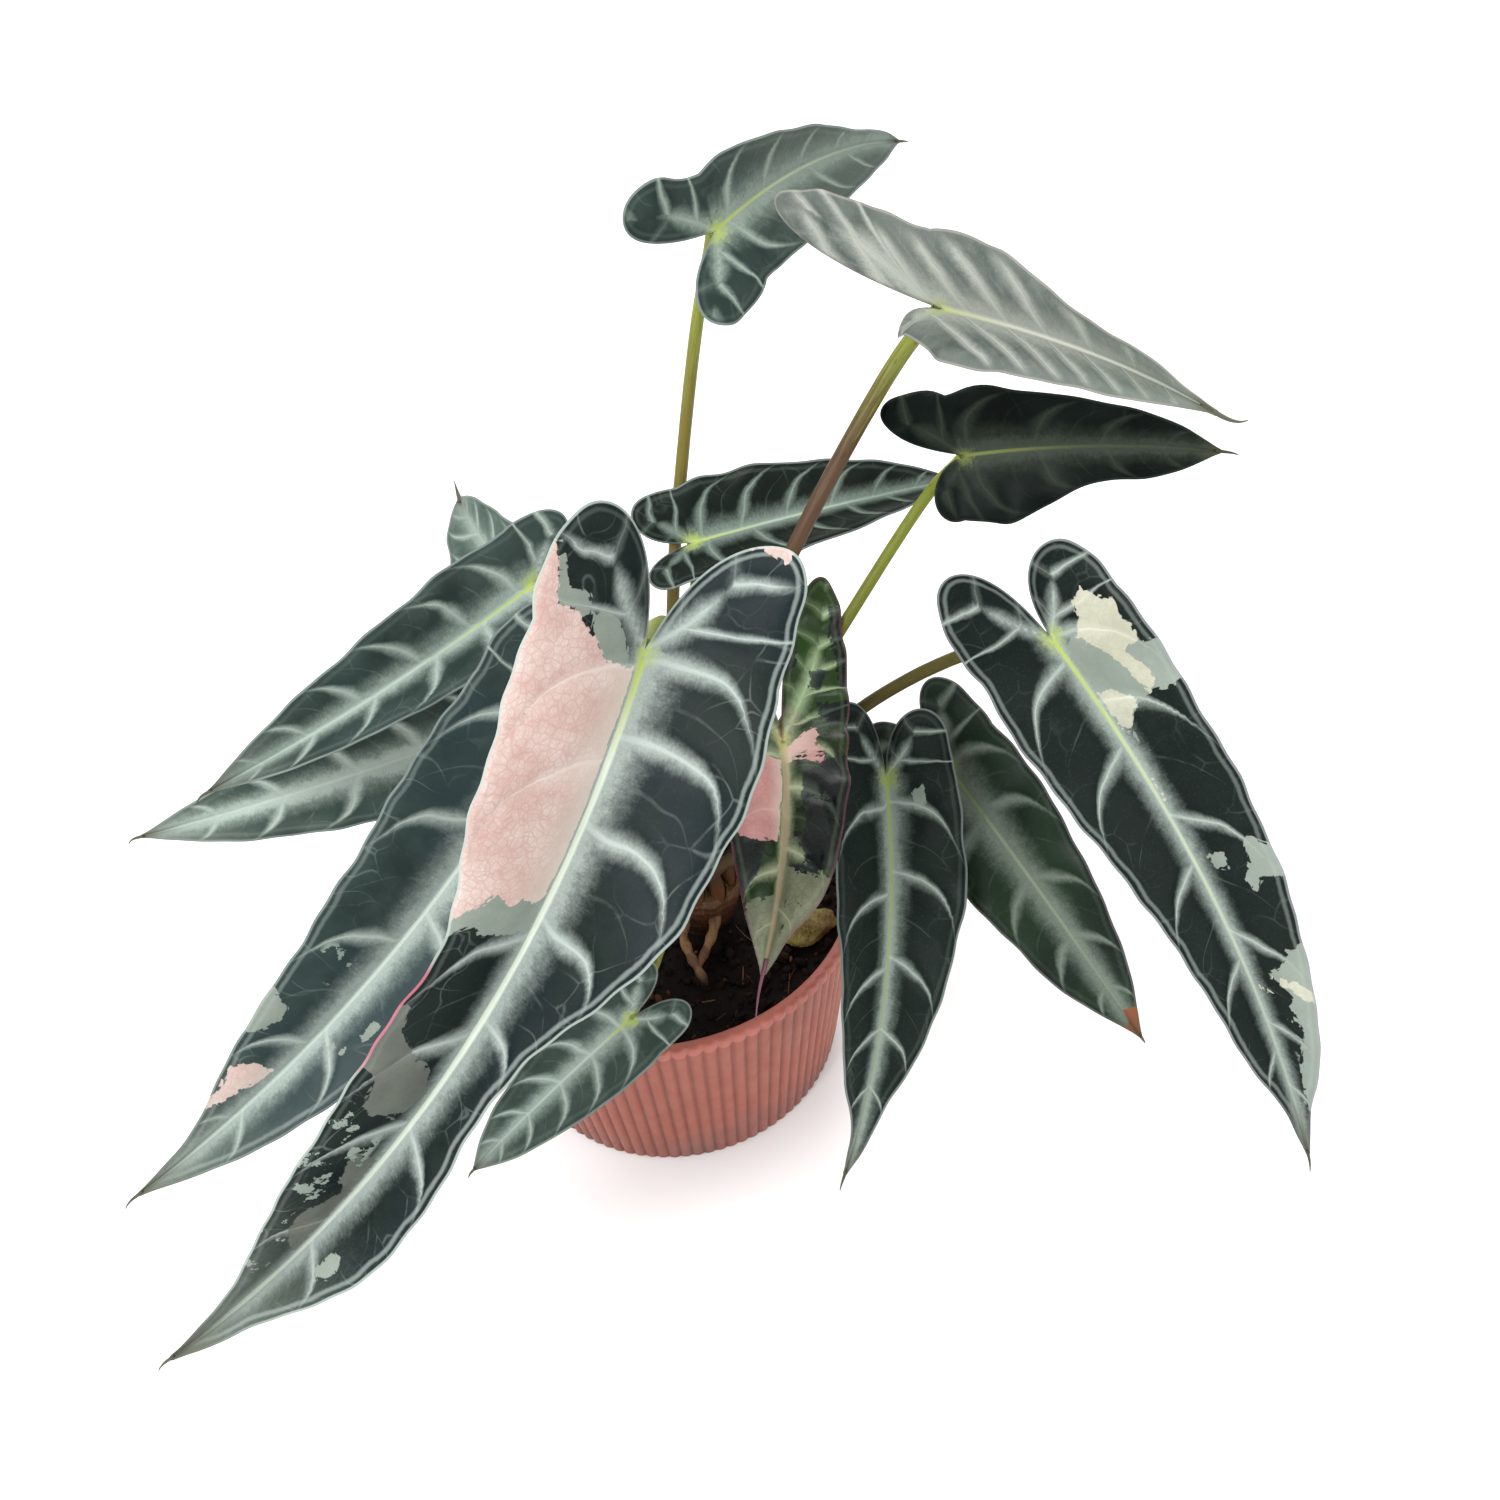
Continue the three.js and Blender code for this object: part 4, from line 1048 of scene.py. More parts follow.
def soilGround():
    # rings of uneven ground, and a last ring down at the wall
    angle = ring(soilLook["sides"])
    radii = np.linspace(0.02, 1, soilLook["rings"]) * (potInside(soilLevel) - 0.15)
    x, y = np.outer(radii, np.cos(angle)).ravel(), np.outer(radii, np.sin(angle)).ravel()
    flat = np.stack([x, y, 0 * x], axis=1)
    z = soilHeight(x, y) - 0.4 + 0.55 * layered(flat, 5, 3) + 0.25 * layered(flat, 1.6, 8, 2)
    z = z - 0.6 * smooth(16, 11.5, fromStem(x, y))
    wall = potInside(soilFloor) * 0.995
    low = np.stack([wall * np.cos(angle), wall * np.sin(angle), np.full(len(angle), soilFloor)], axis=1)
    return np.concatenate([np.stack([x, y, z], axis=1), low])


def soilPaint():
    paint = Paint("soil", Specular_IOR_Level=0.1)
    cloud = paint.grain(paint.coords(), 260, 4, 0.6)
    gritty = paint.grain(paint.coords(), 1700, 3, 0.6)
    tone = paint.field("tone")
    base = paint.mix(cloud.fade(0.35, 0.65), soilLook["ground"], soilLook["cloud"])
    for low, high, colour in ((0.45, 0.75, "crumb"), (0.80, 0.86, "grit"), (0.94, 0.97, "fibre")):
        base = base.tint(tone.fade(low, high), soilLook[colour])
    paint.set(Base_Color=base.tint(gritty.fade(0.6, 0.75, 0, 0.25), soilLook["speck"]),
              Roughness=cloud.fade(0.35, 0.65, 0.65, 0.95))
    paint.bump(gritty + cloud, 0.0005, 0.9)
    return paint.material


def soilPiece():
    # uneven ground, with rough stretched balls for crumbs and short bent tubes for fibres
    inside, count = potInside(soilLevel), soilLook["crumbs"]
    heap = Heap()
    heap.add(soilGround(), loftFaces(soilLook["rings"] + 1, soilLook["sides"]), 0.15)
    coarse, fine = roughBall(1), roughBall(2)
    spots = rng.uniform(-1, 1, (count * 2, 2)) * (inside - 1.5)
    spots = spots[np.hypot(spots[:, 0], spots[:, 1]) < inside - 2][:count]
    for k, (x, y) in enumerate(spots):
        size = 0.5 + 1.7 * rng.random() ** 3
        if fromStem(x, y) < 11 + size:
            continue
        ball, faces = fine if size > 1.2 else coarse
        stretch = rng.uniform(0.55, 1.25, 3) * size
        spin = np.linalg.qr(rng.normal(size=(3, 3)))[0]
        lump = ball * (1 + 0.28 * noise(ball, 0.75, k + 20))[:, None] * stretch
        lump = lump @ spin.T + vec(x, y, float(soilHeight(x, y)) - 0.35 + 0.25 * size)
        lump[:, 2] = np.maximum(lump[:, 2], soilLevel - 4)
        if np.linalg.det(spin) < 0:
            faces = [face[::-1] for face in faces]
        heap.add(lump, faces, rng.random())
    # short fibres lie across the crumbs
    t = np.linspace(-0.5, 0.5, 8)
    for _ in range(soilLook["fibres"]):
        angle, radius = rng.uniform(0, 2 * pi), (inside - 6) * sqrt(rng.random())
        x, y = radius * cos(angle), radius * sin(angle)
        if fromStem(x, y) < 15:
            continue
        turn, long = rng.uniform(0, pi), rng.uniform(3, 8)
        fx, fy = x + long * t * cos(turn), y + long * t * sin(turn) + 1.2 * t * t * rng.normal()
        fz = soilHeight(fx, fy) + 0.7 + 0.9 * t * rng.normal() * 0.6
        strand = tube(np.stack([fx, fy, fz], axis=1), np.full(len(t), rng.uniform(0.12, 0.26)), 5)
        heap.add(strand, loftFaces(len(t), 5), rng.uniform(0.86, 1))
    piece = makeMesh("soil_crumbs", np.concatenate(heap.parts), heap.faces, ["soil"],
                     fields={"tone": np.concatenate(heap.values)})
    piece.data.materials.append(soilPaint())
    print("soil", len(piece.data.polygons))


barkLook = dict(place=(47, -18, 65.6), size=(9, 5.5, 3.2), turn=0.5, flatUnder=-0.75, body="6f5a2c",
                pale="8f8442", fibre="4a3722", bloom="a39a4f")


def barkPiece():
    # ball pulled out of round by a product of sines, cut flat below, stretched, roughened by noise
    ball, faces = roughBall(4)
    shape = ball * (1 + 0.12 * np.sin(5 * ball[:, 0] + 3 * ball[:, 1]) * np.cos(4 * ball[:, 2]))[:, None]
    shape[:, 2] = np.maximum(shape[:, 2], barkLook["flatUnder"])
    shape = shape * vec(*barkLook["size"])
    shape *= (1 + 0.09 * layered(shape, 3.2, 4) + 0.05 * layered(shape, 0.9, 9, 2))[:, None]
    c, s, (x, y, z) = cos(barkLook["turn"]), sin(barkLook["turn"]), shape.T
    turned = np.stack([c * x - s * y, s * x + c * y, z], axis=1)
    piece = makeMesh("bark_chunk", turned + vec(*barkLook["place"]), [list(f) for f in faces],
                     ["bark_piece"])
    paint = Paint("bark", Roughness=0.85)
    where = paint.coords()
    cloud = paint.grain(where, 170, 4, 0.6)
    fibres = paint.grain(paint.coords(scale=(1, 0.25, 1)), 1400, 4, 0.65)
    base = paint.mix(cloud.fade(0.35, 0.65), barkLook["body"], barkLook["pale"])
    base = base.tint(fibres.fade(0.5, 0.68), barkLook["fibre"])
    paint.set(Base_Color=base.tint(paint.grain(where, 420).fade(0.58, 0.68, 0, 0.6), barkLook["bloom"]))
    paint.bump(fibres + cloud, 0.0007, 0.9)
    piece.data.materials.append(paint.material)


def look(**changes):
    # colours of a mature blade; each leaf changes what differs
    return {**dict(
        dark="111a1a", deep="1b2727", hue="1b2a2c", hueRight=None, veil="34444a", halo="909f97",
        vein="b9c8ba", sideVein="b6c2b9", bright=0.3, heart="a9b95c", rim="8f9a95", rimShow=0.5, gloss=0.42,
        shine=0.14, silver=0.9, sideSilver=0.85, coreShow=0.4, warm=0.3, heartSize=5.0, haloGain=1.0,
        spine=(1.0, 1.0), taper=(0.95, 4.2), ribFade=(0.35, 0.9, 0.9, 0.3), ribGain=1.0, net=0.08,
        band=(0.08, 0.06), tipFade=0, tipFrom=(0.66, 0.98), end="474636", endFrom=0.87, endShow=0.8,
        brown=None, pinkRim=None, fleckColour="7f8b82"), **changes}


def newLeaf(name, **changes):
    # a leaf's own values over the common ones
    plain = [0.05, 0.22, 0.4, 0.6, 0.78]
    return {**dict(
        name=name, swells=[], twist=0, spread=(0.15, 0.15), lift=(0, 0), veins=(plain, plain), lobeGap=0.42,
        lean=(0.25, 0.25), lobeLean=0.6, sweep=0.6, lobeAim=(0.52, 0.52), patches=[], puff=0.8, crease=0.3,
        slot="blade", look=look(), tail=(4, 1.5), stalkLook=("4c382c", "5f5428", "7d8638"),
        stalkBands=(0.05, 0.5, 0.45, 0.95)), **changes}


# Most pairs are for the left and the right half, but bow is how far the midrib bends upwards and
# sideways. veins are shares of the length at which side veins start. swells are half, place, width
# and amount. foot is a ring of stalks and a place in it, path the points that the stalk runs
# through, and tail a length, a droop and at times a thickness. patches are kind, half and corners,
# as shares of halfWidth and of the length.
leafTable = [
    newLeaf("front", seed=1, junction=(13, -61, 217), tip=(-124, -145, 78), face=(0.13, -0.9, 0.42),
        halfWidth=35, lobes=(30, 28), spread=(0.5, 0.5), fold=(34, 38), twist=-16,
        swells=[(0, -0.12, 0.08, -0.1), (0, 0.48, 0.17, -0.5), (0, 0.88, 0.08, -0.25), (1, 0, 0.08, 0.14),
        (1, 0.34, 0.09, -0.18), (1, 0.45, 0.2, -0.1), (1, 0.9, 0.12, -0.35)], bow=(10, -15),
        foot=("inner", 3), topRadius=2.4, tail=(5, 1.5), path=[(14, -8, 138), (17, -15, 182),
        (15, -43, 209)], veins=([0.01, 0.09, 0.19, 0.3, 0.43, 0.58, 0.76], [0.02, 0.12, 0.32, 0.45, 0.57,
        0.72]), lean=(-0.02, 0.28), lobeLean=0.95, lobeAim=(0.4, 0.52),
        look=look(spine=(1.25, 0.9), tipFade=0.75, band=(0.45, 0.1), warm=0.14, vein="d3dccb",
            haloGain=1.15, dark="0f1918", deep="18231f", veil="2b3a3b", shine=0.1, pinkRim=(0.36, 0.54),
            halo="99a49f", net=0.2, ribGain=1.25, hue="131e22", hueRight="101a17", rim="a3b0a9",
            rimShow=0.75, sideVein="b4beb9", ribFade=(0.4, 0.95, 0.95, 0.3)),
        patches=[
            ("grey", 1, [(1.05, -0.09), (0.98, -0.07), (0.93, -0.055), (0.88, -0.037), (0.78, -0.042),
                (0.69, -0.037), (0.64, -0.027), (0.7, -0.012), (0.76, -0.02), (0.95, -0.02),
                (1.0, -0.055)]),
            ("grey", 1, [(0.66, -0.015), (0.53, -0.028), (0.36, -0.022), (0.24, -0.005), (0.15, 0.012),
                (0.17, 0.024), (0.38, 0.022), (0.46, 0.014), (0.56, 0)]),
            ("grey", 1, [(0.04, 0.26), (0.05, 0.318), (0.2, 0.322), (0.33, 0.327), (0.45, 0.33),
                (0.52, 0.32), (0.6, 0.327), (0.7, 0.345), (0.9, 0.36), (0.9, 0.28)]),
            ("olive", 1, [(0.635, 0.425), (0.6, 0.455), (0.44, 0.478), (0.36, 0.49), (0.27, 0.49),
                (0.19, 0.505), (0.08, 0.53), (0.15, 0.562), (0.3, 0.566), (0.42, 0.568), (0.5, 0.563),
                (0.52, 0.545), (0.55, 0.52), (0.66, 0.515), (0.9, 0.5), (0.9, 0.44), (0.72, 0.425)]),
            ("olive", 1, [(0.3, 0.62), (0.25, 0.66), (0.12, 0.68), (0.2, 0.7), (0.28, 0.71), (0.3, 0.73),
                (0.22, 0.76), (0.05, 0.78), (0.04, 0.63)]),
            ("fleck", 1, [(0.15, 0.57), (0.9, 0.55), (0.9, 0.85), (0.15, 0.85)]),
            ("grey", 0, [(0.2, 0.74), (0.27, 0.735), (0.33, 0.75), (0.3, 0.765), (0.24, 0.78),
                (0.2, 0.775)]),
            ("pink", 1, [(1.25, -0.09), (1.03, -0.075), (1.0, -0.055), (0.95, -0.02), (0.76, -0.02),
                (0.71, -0.012), (0.56, 0), (0.46, 0.012), (0.38, 0.02), (0.17, 0.022), (0.055, 0.02),
                (0.05, 0.15), (0.05, 0.27), (0.09, 0.285), (0.26, 0.282), (0.34, 0.292), (0.41, 0.287),
                (0.49, 0.28), (0.535, 0.293), (0.62, 0.303), (0.69, 0.315), (0.72, 0.34), (0.735, 0.38),
                (0.738, 0.425), (1.25, 0.425)]),
            ("pink", 0, [(0.3, -0.2), (0.3, -0.13), (0.45, -0.128), (0.6, -0.132), (0.75, -0.125),
                (0.85, -0.2)]),
            ("cream", 0, [(0, -0.05), (0.06, -0.07), (0.1, -0.1), (0.2, -0.125), (0.3, -0.14), (0.1, -0.2),
                (-0.1, -0.1)])]),
    newLeaf("left_lower", seed=2, junction=(-15, -34, 176), tip=(-130, -114, 103),
        face=(0.04, -0.71, 0.71), halfWidth=26, swells=[(1, 0.9, 0.12, -0.45)], lobes=(28, 26),
        fold=(22, 28), bow=(6, -9), foot=("outer", 5), path=[(3, -15, 125), (-6, -22, 155),
        (-12, -29, 169)], topRadius=2, tail=(5, 1.5), veins=([0.05, 0.2, 0.36, 0.6, 0.78], [0.02, 0.2,
        0.42, 0.63, 0.8]),
        look=look(tipFade=0.6, band=(0.3, 0.25), halo="9ba7a1", vein="bfccc0", net=0.18, dark="263230",
            deep="33413e", hue="2b3b3d", spine=(1.3, 1.2), haloGain=1.3),
        patches=[
            ("grey", 1, [(0.72, 0.59), (0.6, 0.598), (0.45, 0.603), (0.42, 0.622), (0.47, 0.65),
                (0.6, 0.68), (0.75, 0.68)]),
            ("fleck", 1, [(0.2, 0.46), (0.6, 0.48), (0.6, 0.54), (0.25, 0.54)]),
            ("grey", 0, [(0.33, 0.535), (0.42, 0.53), (0.45, 0.55), (0.42, 0.57), (0.35, 0.565)]),
            ("grey", 0, [(0.17, 0.6), (0.23, 0.6), (0.24, 0.62), (0.19, 0.635), (0.16, 0.62)]),
            ("grey", 0, [(0.3, 0.59), (0.33, 0.59), (0.33, 0.605), (0.3, 0.605)]),
            ("pink", 1, [(0.43, 0.73), (0.31, 0.705), (0.17, 0.7), (0.08, 0.7), (0.1, 0.725), (0.17, 0.75),
                (0.2, 0.78), (0.28, 0.81), (0.34, 0.8), (0.33, 0.775), (0.4, 0.75)])]),
    newLeaf("left_upper", seed=3, junction=(-20, 12, 185), tip=(-110, -31, 160), face=(0.07, -0.61, 0.79),
        halfWidth=18, lobes=(16, 18), fold=(34, 34), bow=(6, -4), foot=("inner", 2), topRadius=1.8,
        path=[(7, -2, 130), (-6, 7, 163), (-17, 13, 178)], veins=([0.03, 0.17, 0.32, 0.5, 0.68, 0.83],
        [0.05, 0.2, 0.36, 0.53, 0.7, 0.84]),
        look=look(dark="26322e", deep="36433f", hue="303e3b", halo="96a59c", haloGain=1.5, warm=0.4,
            tipFade=0.6, vein="a9b7aa", coreShow=0.25)),
    newLeaf("left_middle", seed=4, junction=(-36, 2, 145), tip=(-137, -23, 139), face=(0.16, -0.8, 0.58),
        halfWidth=17, lobes=(18, 18), fold=(20, 20), bow=(5, -1), foot=("outer", 4), topRadius=1.7,
        path=[(-7, -3, 110), (-23, 4, 131), (-33, 5, 139)],
        look=look(dark="28352f", deep="3b4a43", hue="33423e", halo="a0afa5", haloGain=1.8, tipFade=0.6,
            coreShow=0.2, bright=0.6, vein="bac6bb")),
    newLeaf("back_left", seed=5, junction=(-24, 37, 160), tip=(-48, 81, 171), face=(-0.55, -0.47, 0.69),
        halfWidth=16, lobes=(16, 16), fold=(20, 20), bow=(5, 0), foot=("outer", 3), topRadius=1.6,
        path=[(1, 11, 116), (-11, 27, 142), (-20, 36, 152)], tail=(7, -3, 0.75),
        look=look(dark="3c4c45", deep="4f6057", hue="46564e", halo="7f8d82", haloGain=1.6, tipFade=0.8,
            coreShow=0.2, vein="93a096", endShow=0.9)),
    newLeaf("back_middle", seed=6, junction=(24, 35, 177), tip=(103, 50, 179), face=(0.08, -0.54, 0.83),
        halfWidth=17.5, lobes=(15, 14), spread=(0.3, 0.3), fold=(30, 30), bow=(5, 1), foot=("inner", 1),
        path=[(18, 6, 126), (22, 24, 158), (24, 33, 169)], topRadius=1.8, veins=([0.03, 0.18, 0.34, 0.5,
        0.66, 0.82], [0.05, 0.22, 0.38, 0.55, 0.7, 0.84]),
        look=look(dark="0a120d", deep="121c15", hue="0f1813", veil="202e26", halo="84948a", warm=0.3,
            sideSilver=0.7, vein="a3b3a0", spine=(1.25, 1.25), sideVein="8d9c91", bright=0.25)),
    newLeaf("back_top", seed=7, junction=(39, 50, 262), tip=(95, 107, 257), face=(0.64, -0.58, 0.5),
        halfWidth=17.5, lobes=(27, 21), spread=(1.3, 0.7), fold=(30, 20), bow=(3, -5),
        swells=[(0, -0.2, 0.1, 0.2), (0, 0.08, 0.1, 0.05), (0, 0.4, 0.25, -0.2), (0, 0.75, 0.2, -0.45),
        (1, -0.15, 0.2, 0.15)], foot=("outer", 2), path=[(13, 20, 132), (18, 38, 170), (23, 48, 194),
        (32, 53, 236)], topRadius=1.9, stalkLook=("5f5230", "6c632c", "7f8a38"), lobeGap=0.36, tail=(5, 0),
        stalkBands=(0.3, 0.6, 0.7, 0.95), veins=([0.06, 0.24, 0.42, 0.6, 0.78], [0.06, 0.26, 0.46, 0.66]),
        look=look(dark="1d2926", deep="2d3a36", hue="26332f", halo="84948a", vein="a3ae98", warm=0.45,
            haloGain=1.5, spine=(1.3, 1.1), heartSize=5, tipFade=0.35, tipFrom=(0.02, 0.4),
            taper=(1.0, 3.0), sideVein="a9b3a6", coreShow=0.2)),
    newLeaf("right_top", seed=8, junction=(93, 23, 248), tip=(140, -51, 256), face=(-0.69, -0.37, 0.63),
        halfWidth=23, lobes=(50, 9), spread=(0.8, 0.15), fold=(46, 46), bow=(-4, -3), lift=(25, 35),
        swells=[(0, 0.62, 0.3, -0.5), (0, 0.9, 0.1, -0.35), (1, 0, 0.15, -0.3), (1, 0.5, 0.3, -0.1)],
        foot=("outer", 1), path=[(28, 5, 135), (49, 11, 183), (76, 28, 221), (87, 31, 236)], topRadius=2.6,
        stalkLook=("34221a", "4f3a28", "7d8638"), tail=(12, -2.5, 0.55), lobeGap=0.3,
        stalkBands=(0.35, 0.6, 0.72, 0.98), lean=(-0.7, 2.2), lobeLean=2.4, sweep=-0.1, veins=([-0.45,
        -0.3, -0.16, -0.03, 0.1, 0.24, 0.38, 0.54, 0.7, 0.84], [-0.1, 0.06, 0.2, 0.34, 0.48, 0.62, 0.78]),
        # its pale grey ground, veil, second hue, halo and veins are painted sheen: the satin face seen at a
        # grazing angle
        look=look(dark="49534e", deep="6a716b", hue="646b65", veil="868b84", halo="a3a79e", vein="b8b9ac",
            sideVein="b0b3ab", heart="a9b27c", haloGain=2.5, spine=(0.7, 0.7), band=(0, 0), tipFade=0.55,
            tipFrom=(0.3, 0.9), taper=(1.6, 1.4), rim="9b9890", gloss=0.5, sideSilver=0.95, coreShow=0.2)),
    newLeaf("right_upper", seed=9, junction=(99, 19, 207), tip=(163, 2, 211), face=(-0.26, -0.9, 0.35),
        halfWidth=17.5, lobes=(20, 9), spread=(0.8, 0.3), fold=(20, 20), bow=(5, -3),
        swells=[(0, -0.1, 0.12, 0.12), (0, 0.12, 0.12, 0.12), (1, 0.15, 0.15, 0.1), (1, 0.55, 0.2, -0.3)],
        foot=("inner", 0), path=[(37, -1, 122), (65, 12, 161), (91, 27, 191)], topRadius=1.8,
        stalkLook=("51491f", "636526", "727b2c"), tail=(5, 0.5), veins=([0.02, 0.27, 0.52, 0.76], [0.05,
        0.3, 0.55, 0.76]),
        # its ground, silver, veins, heart and rim are all painted dark: painted shade, as it hangs below the
        # leaf above
        look=look(dark="060a08", deep="0b110f", hue="121a17", veil="161e1b", halo="434b40", vein="484e38",
            heart="6d7640", sideVein="4c554b", rim="3f4a42", silver=0.6, sideSilver=0.55, coreShow=0.1,
            warm=0.5, heartSize=4, shine=0.05, haloGain=1.7, rimShow=0.25, band=(0, 0), spine=(1.1, 0.9))),
    newLeaf("right_large", seed=10, junction=(115, -23, 176), tip=(174, -109, 55),
        face=(-0.1, -0.83, 0.54), halfWidth=26, lobes=(20, 28), fold=(34, 25), bow=(10, -7),
        foot=("outer", 0), topRadius=2, swells=[(0, 0.2, 0.15, -0.08), (0, 0.92, 0.06, -0.3),
        (1, 0.6, 0.35, -0.18), (1, 0.9, 0.07, -0.3)], path=[(42, -2, 113), (66, -1, 138), (92, -6, 158),
        (106, -14, 168)], tail=(5, 2), stalkLook=("3c3120", "483f1d", "5a5325"), lean=(0.45, 0.4),
        veins=([0.0, 0.12, 0.33, 0.55, 0.72, 0.85], [0.04, 0.2, 0.42, 0.6, 0.78]),
        look=look(dark="0e1614", deep="161f1c", shine=0.1, warm=0.35, band=(0.25, 0.35), hue="121b17",
            vein="b0bba2", rim="8b9192", rimShow=0.65, spine=(1.1, 1.0), halo="939e98", bright=0.22),
        patches=[
            ("grey", 0, [(0.08, 0.02), (0.25, 0.018), (0.42, 0), (0.45, -0.022), (0.62, -0.035), (0.74, 0),
                (0.83, 0.013), (0.75, 0.04), (0.84, 0.055), (0.76, 0.08), (1.1, 0.1), (1.1, 0.165),
                (0.9, 0.16), (0.77, 0.16), (0.62, 0.152), (0.42, 0.158), (0.28, 0.17), (0.15, 0.188),
                (0.17, 0.207), (0.08, 0.175), (0.07, 0.1)]),
            ("cream", 0, [(0.25, 0.022), (0.42, 0), (0.45, -0.022), (0.62, -0.035), (0.74, 0),
                (0.83, 0.013), (0.75, 0.04), (0.84, 0.055), (0.76, 0.078), (0.6, 0.078), (0.7, 0.115),
                (0.7, 0.145), (0.58, 0.152), (0.52, 0.115), (0.5, 0.09), (0.36, 0.05)]),
            ("cream", 0, [(0.06, 0.11), (0.25, 0.12), (0.42, 0.15), (0.3, 0.165), (0.16, 0.19),
                (0.07, 0.175)]),
            ("grey", 0, [(0.17, 0.42), (0.25, 0.412), (0.36, 0.42), (0.34, 0.447), (0.22, 0.44)]),
            ("grey", 0, [(0.64, 0.4), (0.76, 0.42), (1.0, 0.45), (1.0, 0.475), (0.76, 0.478), (0.6, 0.472),
                (0.47, 0.495), (0.45, 0.465), (0.56, 0.445), (0.58, 0.425)]),
            ("grey", 0, [(0.23, 0.635), (0.43, 0.62), (0.53, 0.597), (1, 0.59), (1, 0.98), (0.12, 0.9),
                (0.18, 0.83), (0.26, 0.78), (0.37, 0.74), (0.33, 0.72), (0.33, 0.695), (0.4, 0.68)]),
            ("cream", 0, [(0.23, 0.638), (0.5, 0.655), (0.62, 0.68), (1, 0.69), (1, 0.7), (0.6, 0.7),
                (0.4, 0.67)]),
            ("cream", 0, [(0.02, 0.27), (0.06, 0.27), (0.08, 0.31), (0.03, 0.31)]),
            ("cream", 0, [(0.04, 0.64), (0.12, 0.66), (0.2, 0.675), (0.1, 0.665)]),
            ("fleck", 0, [(0.2, 0.66), (0.6, 0.66), (0.5, 0.85), (0.2, 0.85)])]),
    newLeaf("centre_near", seed=11, junction=(71.5, -19, 128), tip=(48, -90, 38), face=(0.1, -0.79, 0.6),
        halfWidth=21, lobes=(18, 21), fold=(30, 30), bow=(8, -4.5), foot=("outer", 7), topRadius=1.8,
        swells=[(0, 0.3, 0.15, 0.08), (0, 0.82, 0.15, -0.35), (1, 0.88, 0.1, -0.5)], path=[(32, -15, 101),
        (51, -15, 117), (65, -15, 124)], tail=(5, 1), veins=([0.06, 0.22, 0.42, 0.6, 0.75], [0.07, 0.27,
        0.45, 0.6, 0.75]),
        look=look(dark="0e1612", deep="16211c", hue="141e1a", shine=0.1, halo="818e85", vein="828e70",
            warm=1.0, heart="9aaa55", heartSize=5, spine=(1.25, 1.15), ribFade=(0.4, 1.0, 0.8, 0.3)),
        patches=[
            ("grey", 0, [(0.35, 0.035), (0.5, 0.03), (0.55, 0.06), (0.48, 0.085), (0.38, 0.08)])]),
    newLeaf("centre_far", seed=12, junction=(91, -8, 119), tip=(137, -72, 65), face=(-0.18, -0.71, 0.68),
        halfWidth=20, swells=[(1, 0.75, 0.15, 0.1)], lobes=(24, 24), fold=(18, 10), bow=(8, -1),
        foot=("outer", 8), path=[(39, -7, 94), (62, -3, 107), (82, -3, 114)], topRadius=1.7, tail=(2, 0),
        veins=([0.0, 0.17, 0.42, 0.62, 0.8], [0.0, 0.2, 0.42, 0.62, 0.8]),
        look=look(dark="101b13", deep="17261b", hue="1b2d1c", halo="717d71", vein="85907a", rim="756f73",
            haloGain=1.4, coreShow=0.1, sideVein="808c80", bright=0.2, heart="87954f", brown=(0.89, 0.93),
            spine=(1.2, 1.2))),
    newLeaf("young", seed=13, junction=(43, -25, 153), tip=(31, -90, 133), face=(0.22, -0.27, 0.94),
        halfWidth=20, lobes=(53, 22), spread=(0.3, 0.15), fold=(15, 15), bow=(6, -2), lift=(42, 0),
        swells=[(0, 0.1, 0.12, -0.12), (0, 0.35, 0.2, -0.14), (0, 0.87, 0.1, -0.3)], foot=("inner", 4),
        slot="young_blade", path=[(19, -11, 108), (30, -16, 134), (39, -22, 145)], topRadius=1.8, puff=1.9,
        crease=1.3, tail=(10, 4.5), lobeGap=0.17, veins=([0.05, 0.25, 0.5, 0.75], [0.1, 0.35, 0.6, 0.8]),
        # on its black patches a paler shade and light marble the surface: painted highlights for the gloss
        # on its puckered face
        look=look(dark="111a0c", deep="213515", hue="1a2c12", veil="35501f", halo="8d9776", vein="9c8b6e",
            heart="a9a468", rim="6a4048", gloss=0.26, shine=0.24, band=(0.1, 0.1), warm=0.2, heartSize=4,
            fleckColour="0d1413", spine=(0.45, 0.45), haloGain=1.3, sideVein="b0ba98", bright=0.2,
            ribFade=(0.6, 1.0, 0.8, 0.55), ribGain=1.8, cream=dict(flat="74775f", shade="4f5646",
            light="9c9d80"), black=dict(flat="070b0a", shade="1c2724", light="4c5b50", glow=0.65, net=0.5),
            pink=dict(flat="b58580", shade="a5716e", light="c9a397"), end="6b3f4d", endFrom=0.95,
            endShow=0.95),
        patches=[
            ("green", 0, [(-0.1, -0.75), (1.4, -0.75), (1.4, -0.02), (0.5, -0.02), (0.1, -0.2)]),
            ("pink", 0, [(0, 0.05), (0.3, 0), (0.45, -0.03), (0.48, 0.02), (0.42, 0.05), (0.55, 0.12),
                (0.52, 0.17), (0.3, 0.14), (0, 0.12)]),
            ("pink", 0, [(0, -0.75), (0.35, -0.8), (0.4, -0.66), (0.1, -0.6)]),
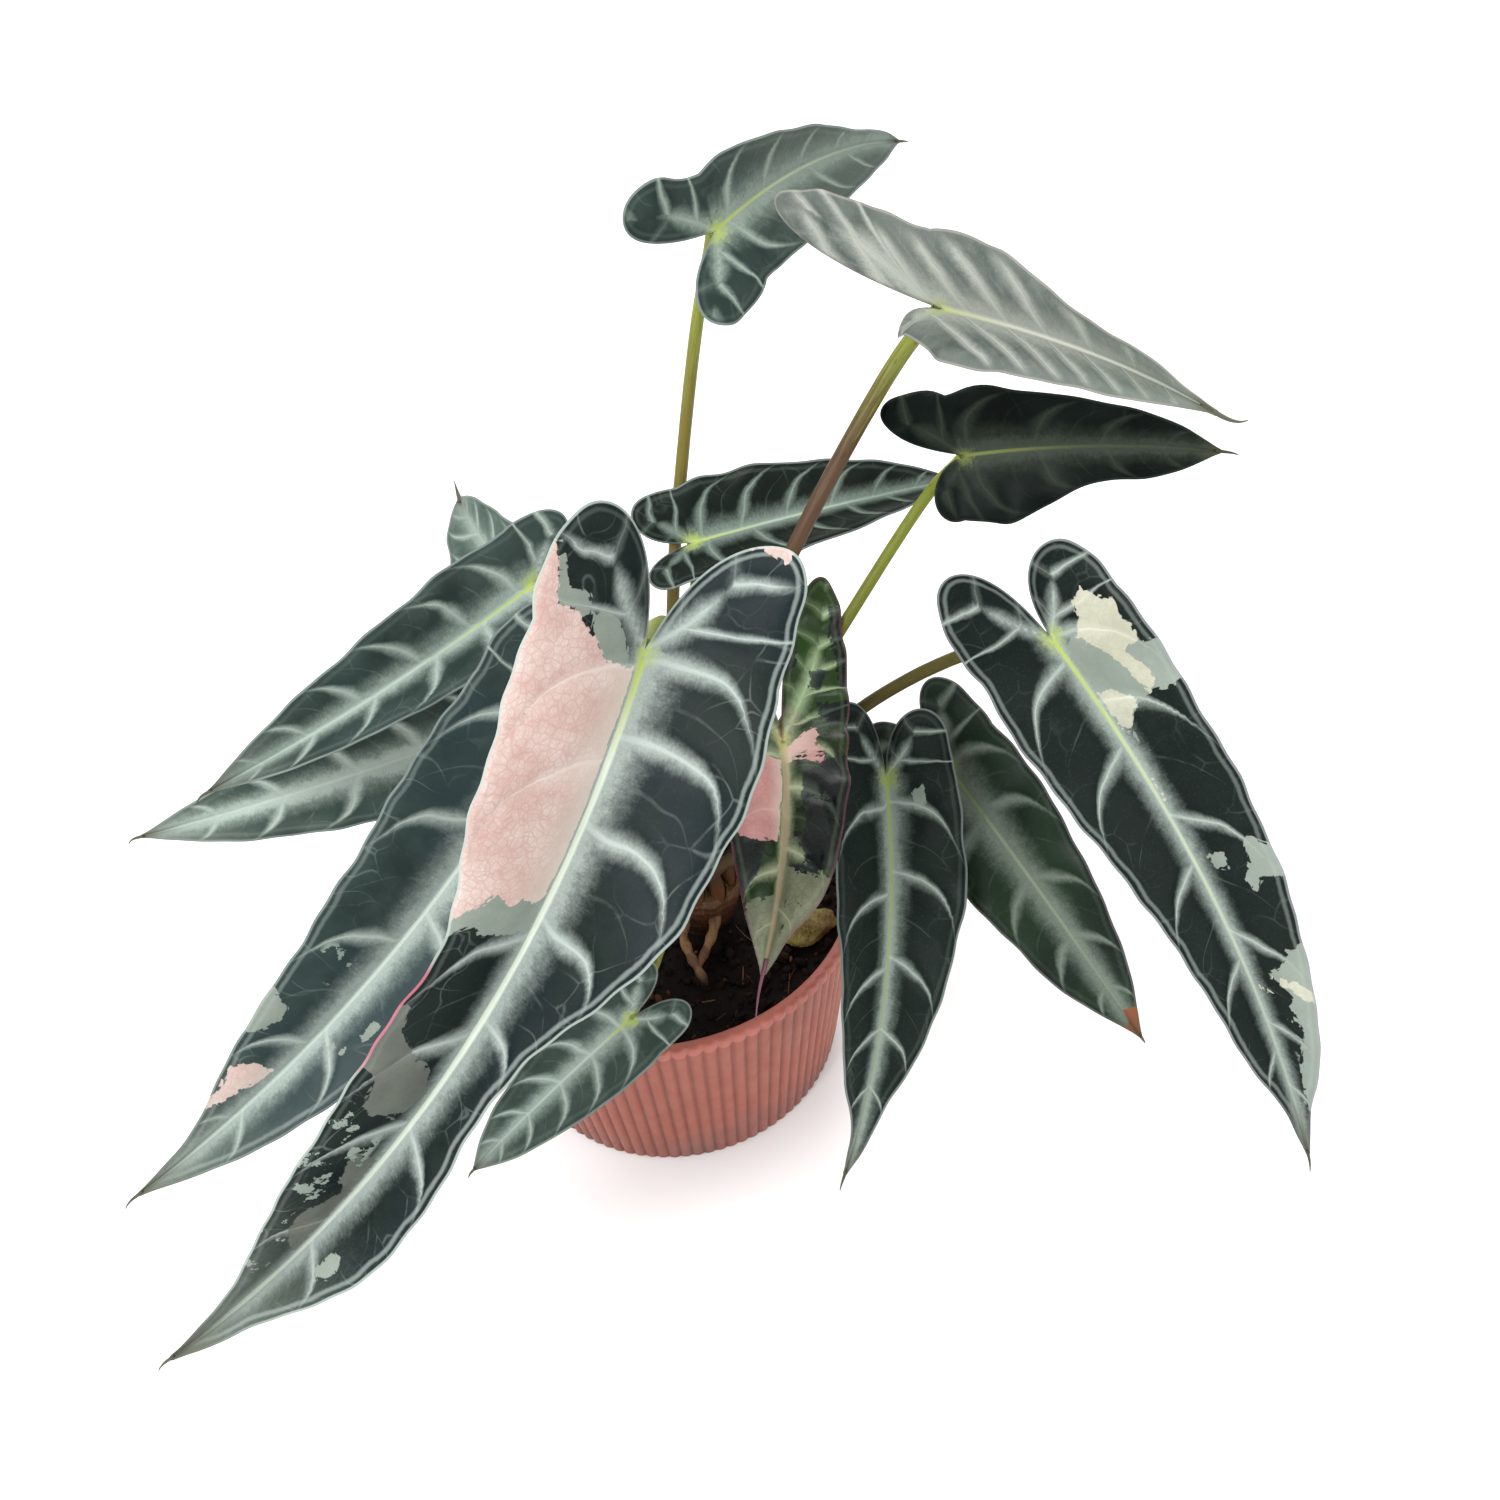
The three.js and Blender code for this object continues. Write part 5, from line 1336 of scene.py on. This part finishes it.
            ("black", 0, [(0.25, 0.2), (0.5, 0.16), (0.7, 0.12), (1.2, 0.1), (1.2, 0.5), (0.8, 0.6),
                (0.35, 0.6), (0.2, 0.5), (0.3, 0.4), (0.18, 0.3)]),
            ("black", 0, [(0.5, -0.14), (1.3, -0.16), (1.3, -0.06), (0.6, -0.04)]),
            ("black", 0, [(0.72, -0.62), (1.3, -0.66), (1.3, -0.3), (0.85, -0.24), (0.78, -0.42)]),
            ("black", 0, [(0.05, -0.5), (0.3, -0.46), (0.26, -0.34), (0.1, -0.3)]),
            ("black", 0, [(0.45, -0.34), (0.68, -0.32), (0.6, -0.22), (0.42, -0.24)]),
            ("cream", 0, [(0, 0.58), (0.4, 0.62), (1, 0.6), (1, 1), (0, 1)]),
            ("fleck", 0, [(0.1, 0.1), (1, 0.0), (1, 0.85), (0.1, 0.85)]),
            ("fleck", 1, [(0.15, 0.5), (1, 0.5), (1, 0.9), (0.15, 0.9)]),
            ("pink", 1, [(0.06, 0.12), (1.2, 0.1), (1.2, 0.5), (0.6, 0.53), (0.08, 0.5)]),
            ("black", 1, [(0.3, 0.53), (1.2, 0.5), (1.2, 0.74), (0.5, 0.75), (0.35, 0.65)]),
            ("cream", 1, [(0, 0.7), (0.4, 0.76), (1, 0.74), (1, 1), (0, 1)])]),
    newLeaf("front_low", seed=14, junction=(-7, -67, 92), tip=(-55, -91, 63), face=(-0.04, -0.74, 0.68),
        halfWidth=14, lobes=(15, 15), spread=(0.2, 0.15), fold=(20, 20), bow=(6, 1), foot=("outer", 6),
        path=[(10, -26, 98), (5, -43, 100), (-2, -58, 94)], topRadius=1.4, tail=(3, 1),
        look=look(dark="27342f", deep="3b4a42", hue="2f3c37", halo="8e9e94", vein="b0beb2", haloGain=1.35,
            warm=0.2, heartSize=3.5, tipFade=0.6)),
]


lookCamera()
makeStage()
leaves = [prepare(leaf) for leaf in leafTable]
potPiece()
soilPiece()
barkPiece()
stemPiece(leaves)
print("stem and bark")
underside = undersidePaint()
total = 0
for leaf in leaves:
    total += bladePiece(leaf, underside)
    stalkPiece(leaf)
print("leaves", total)
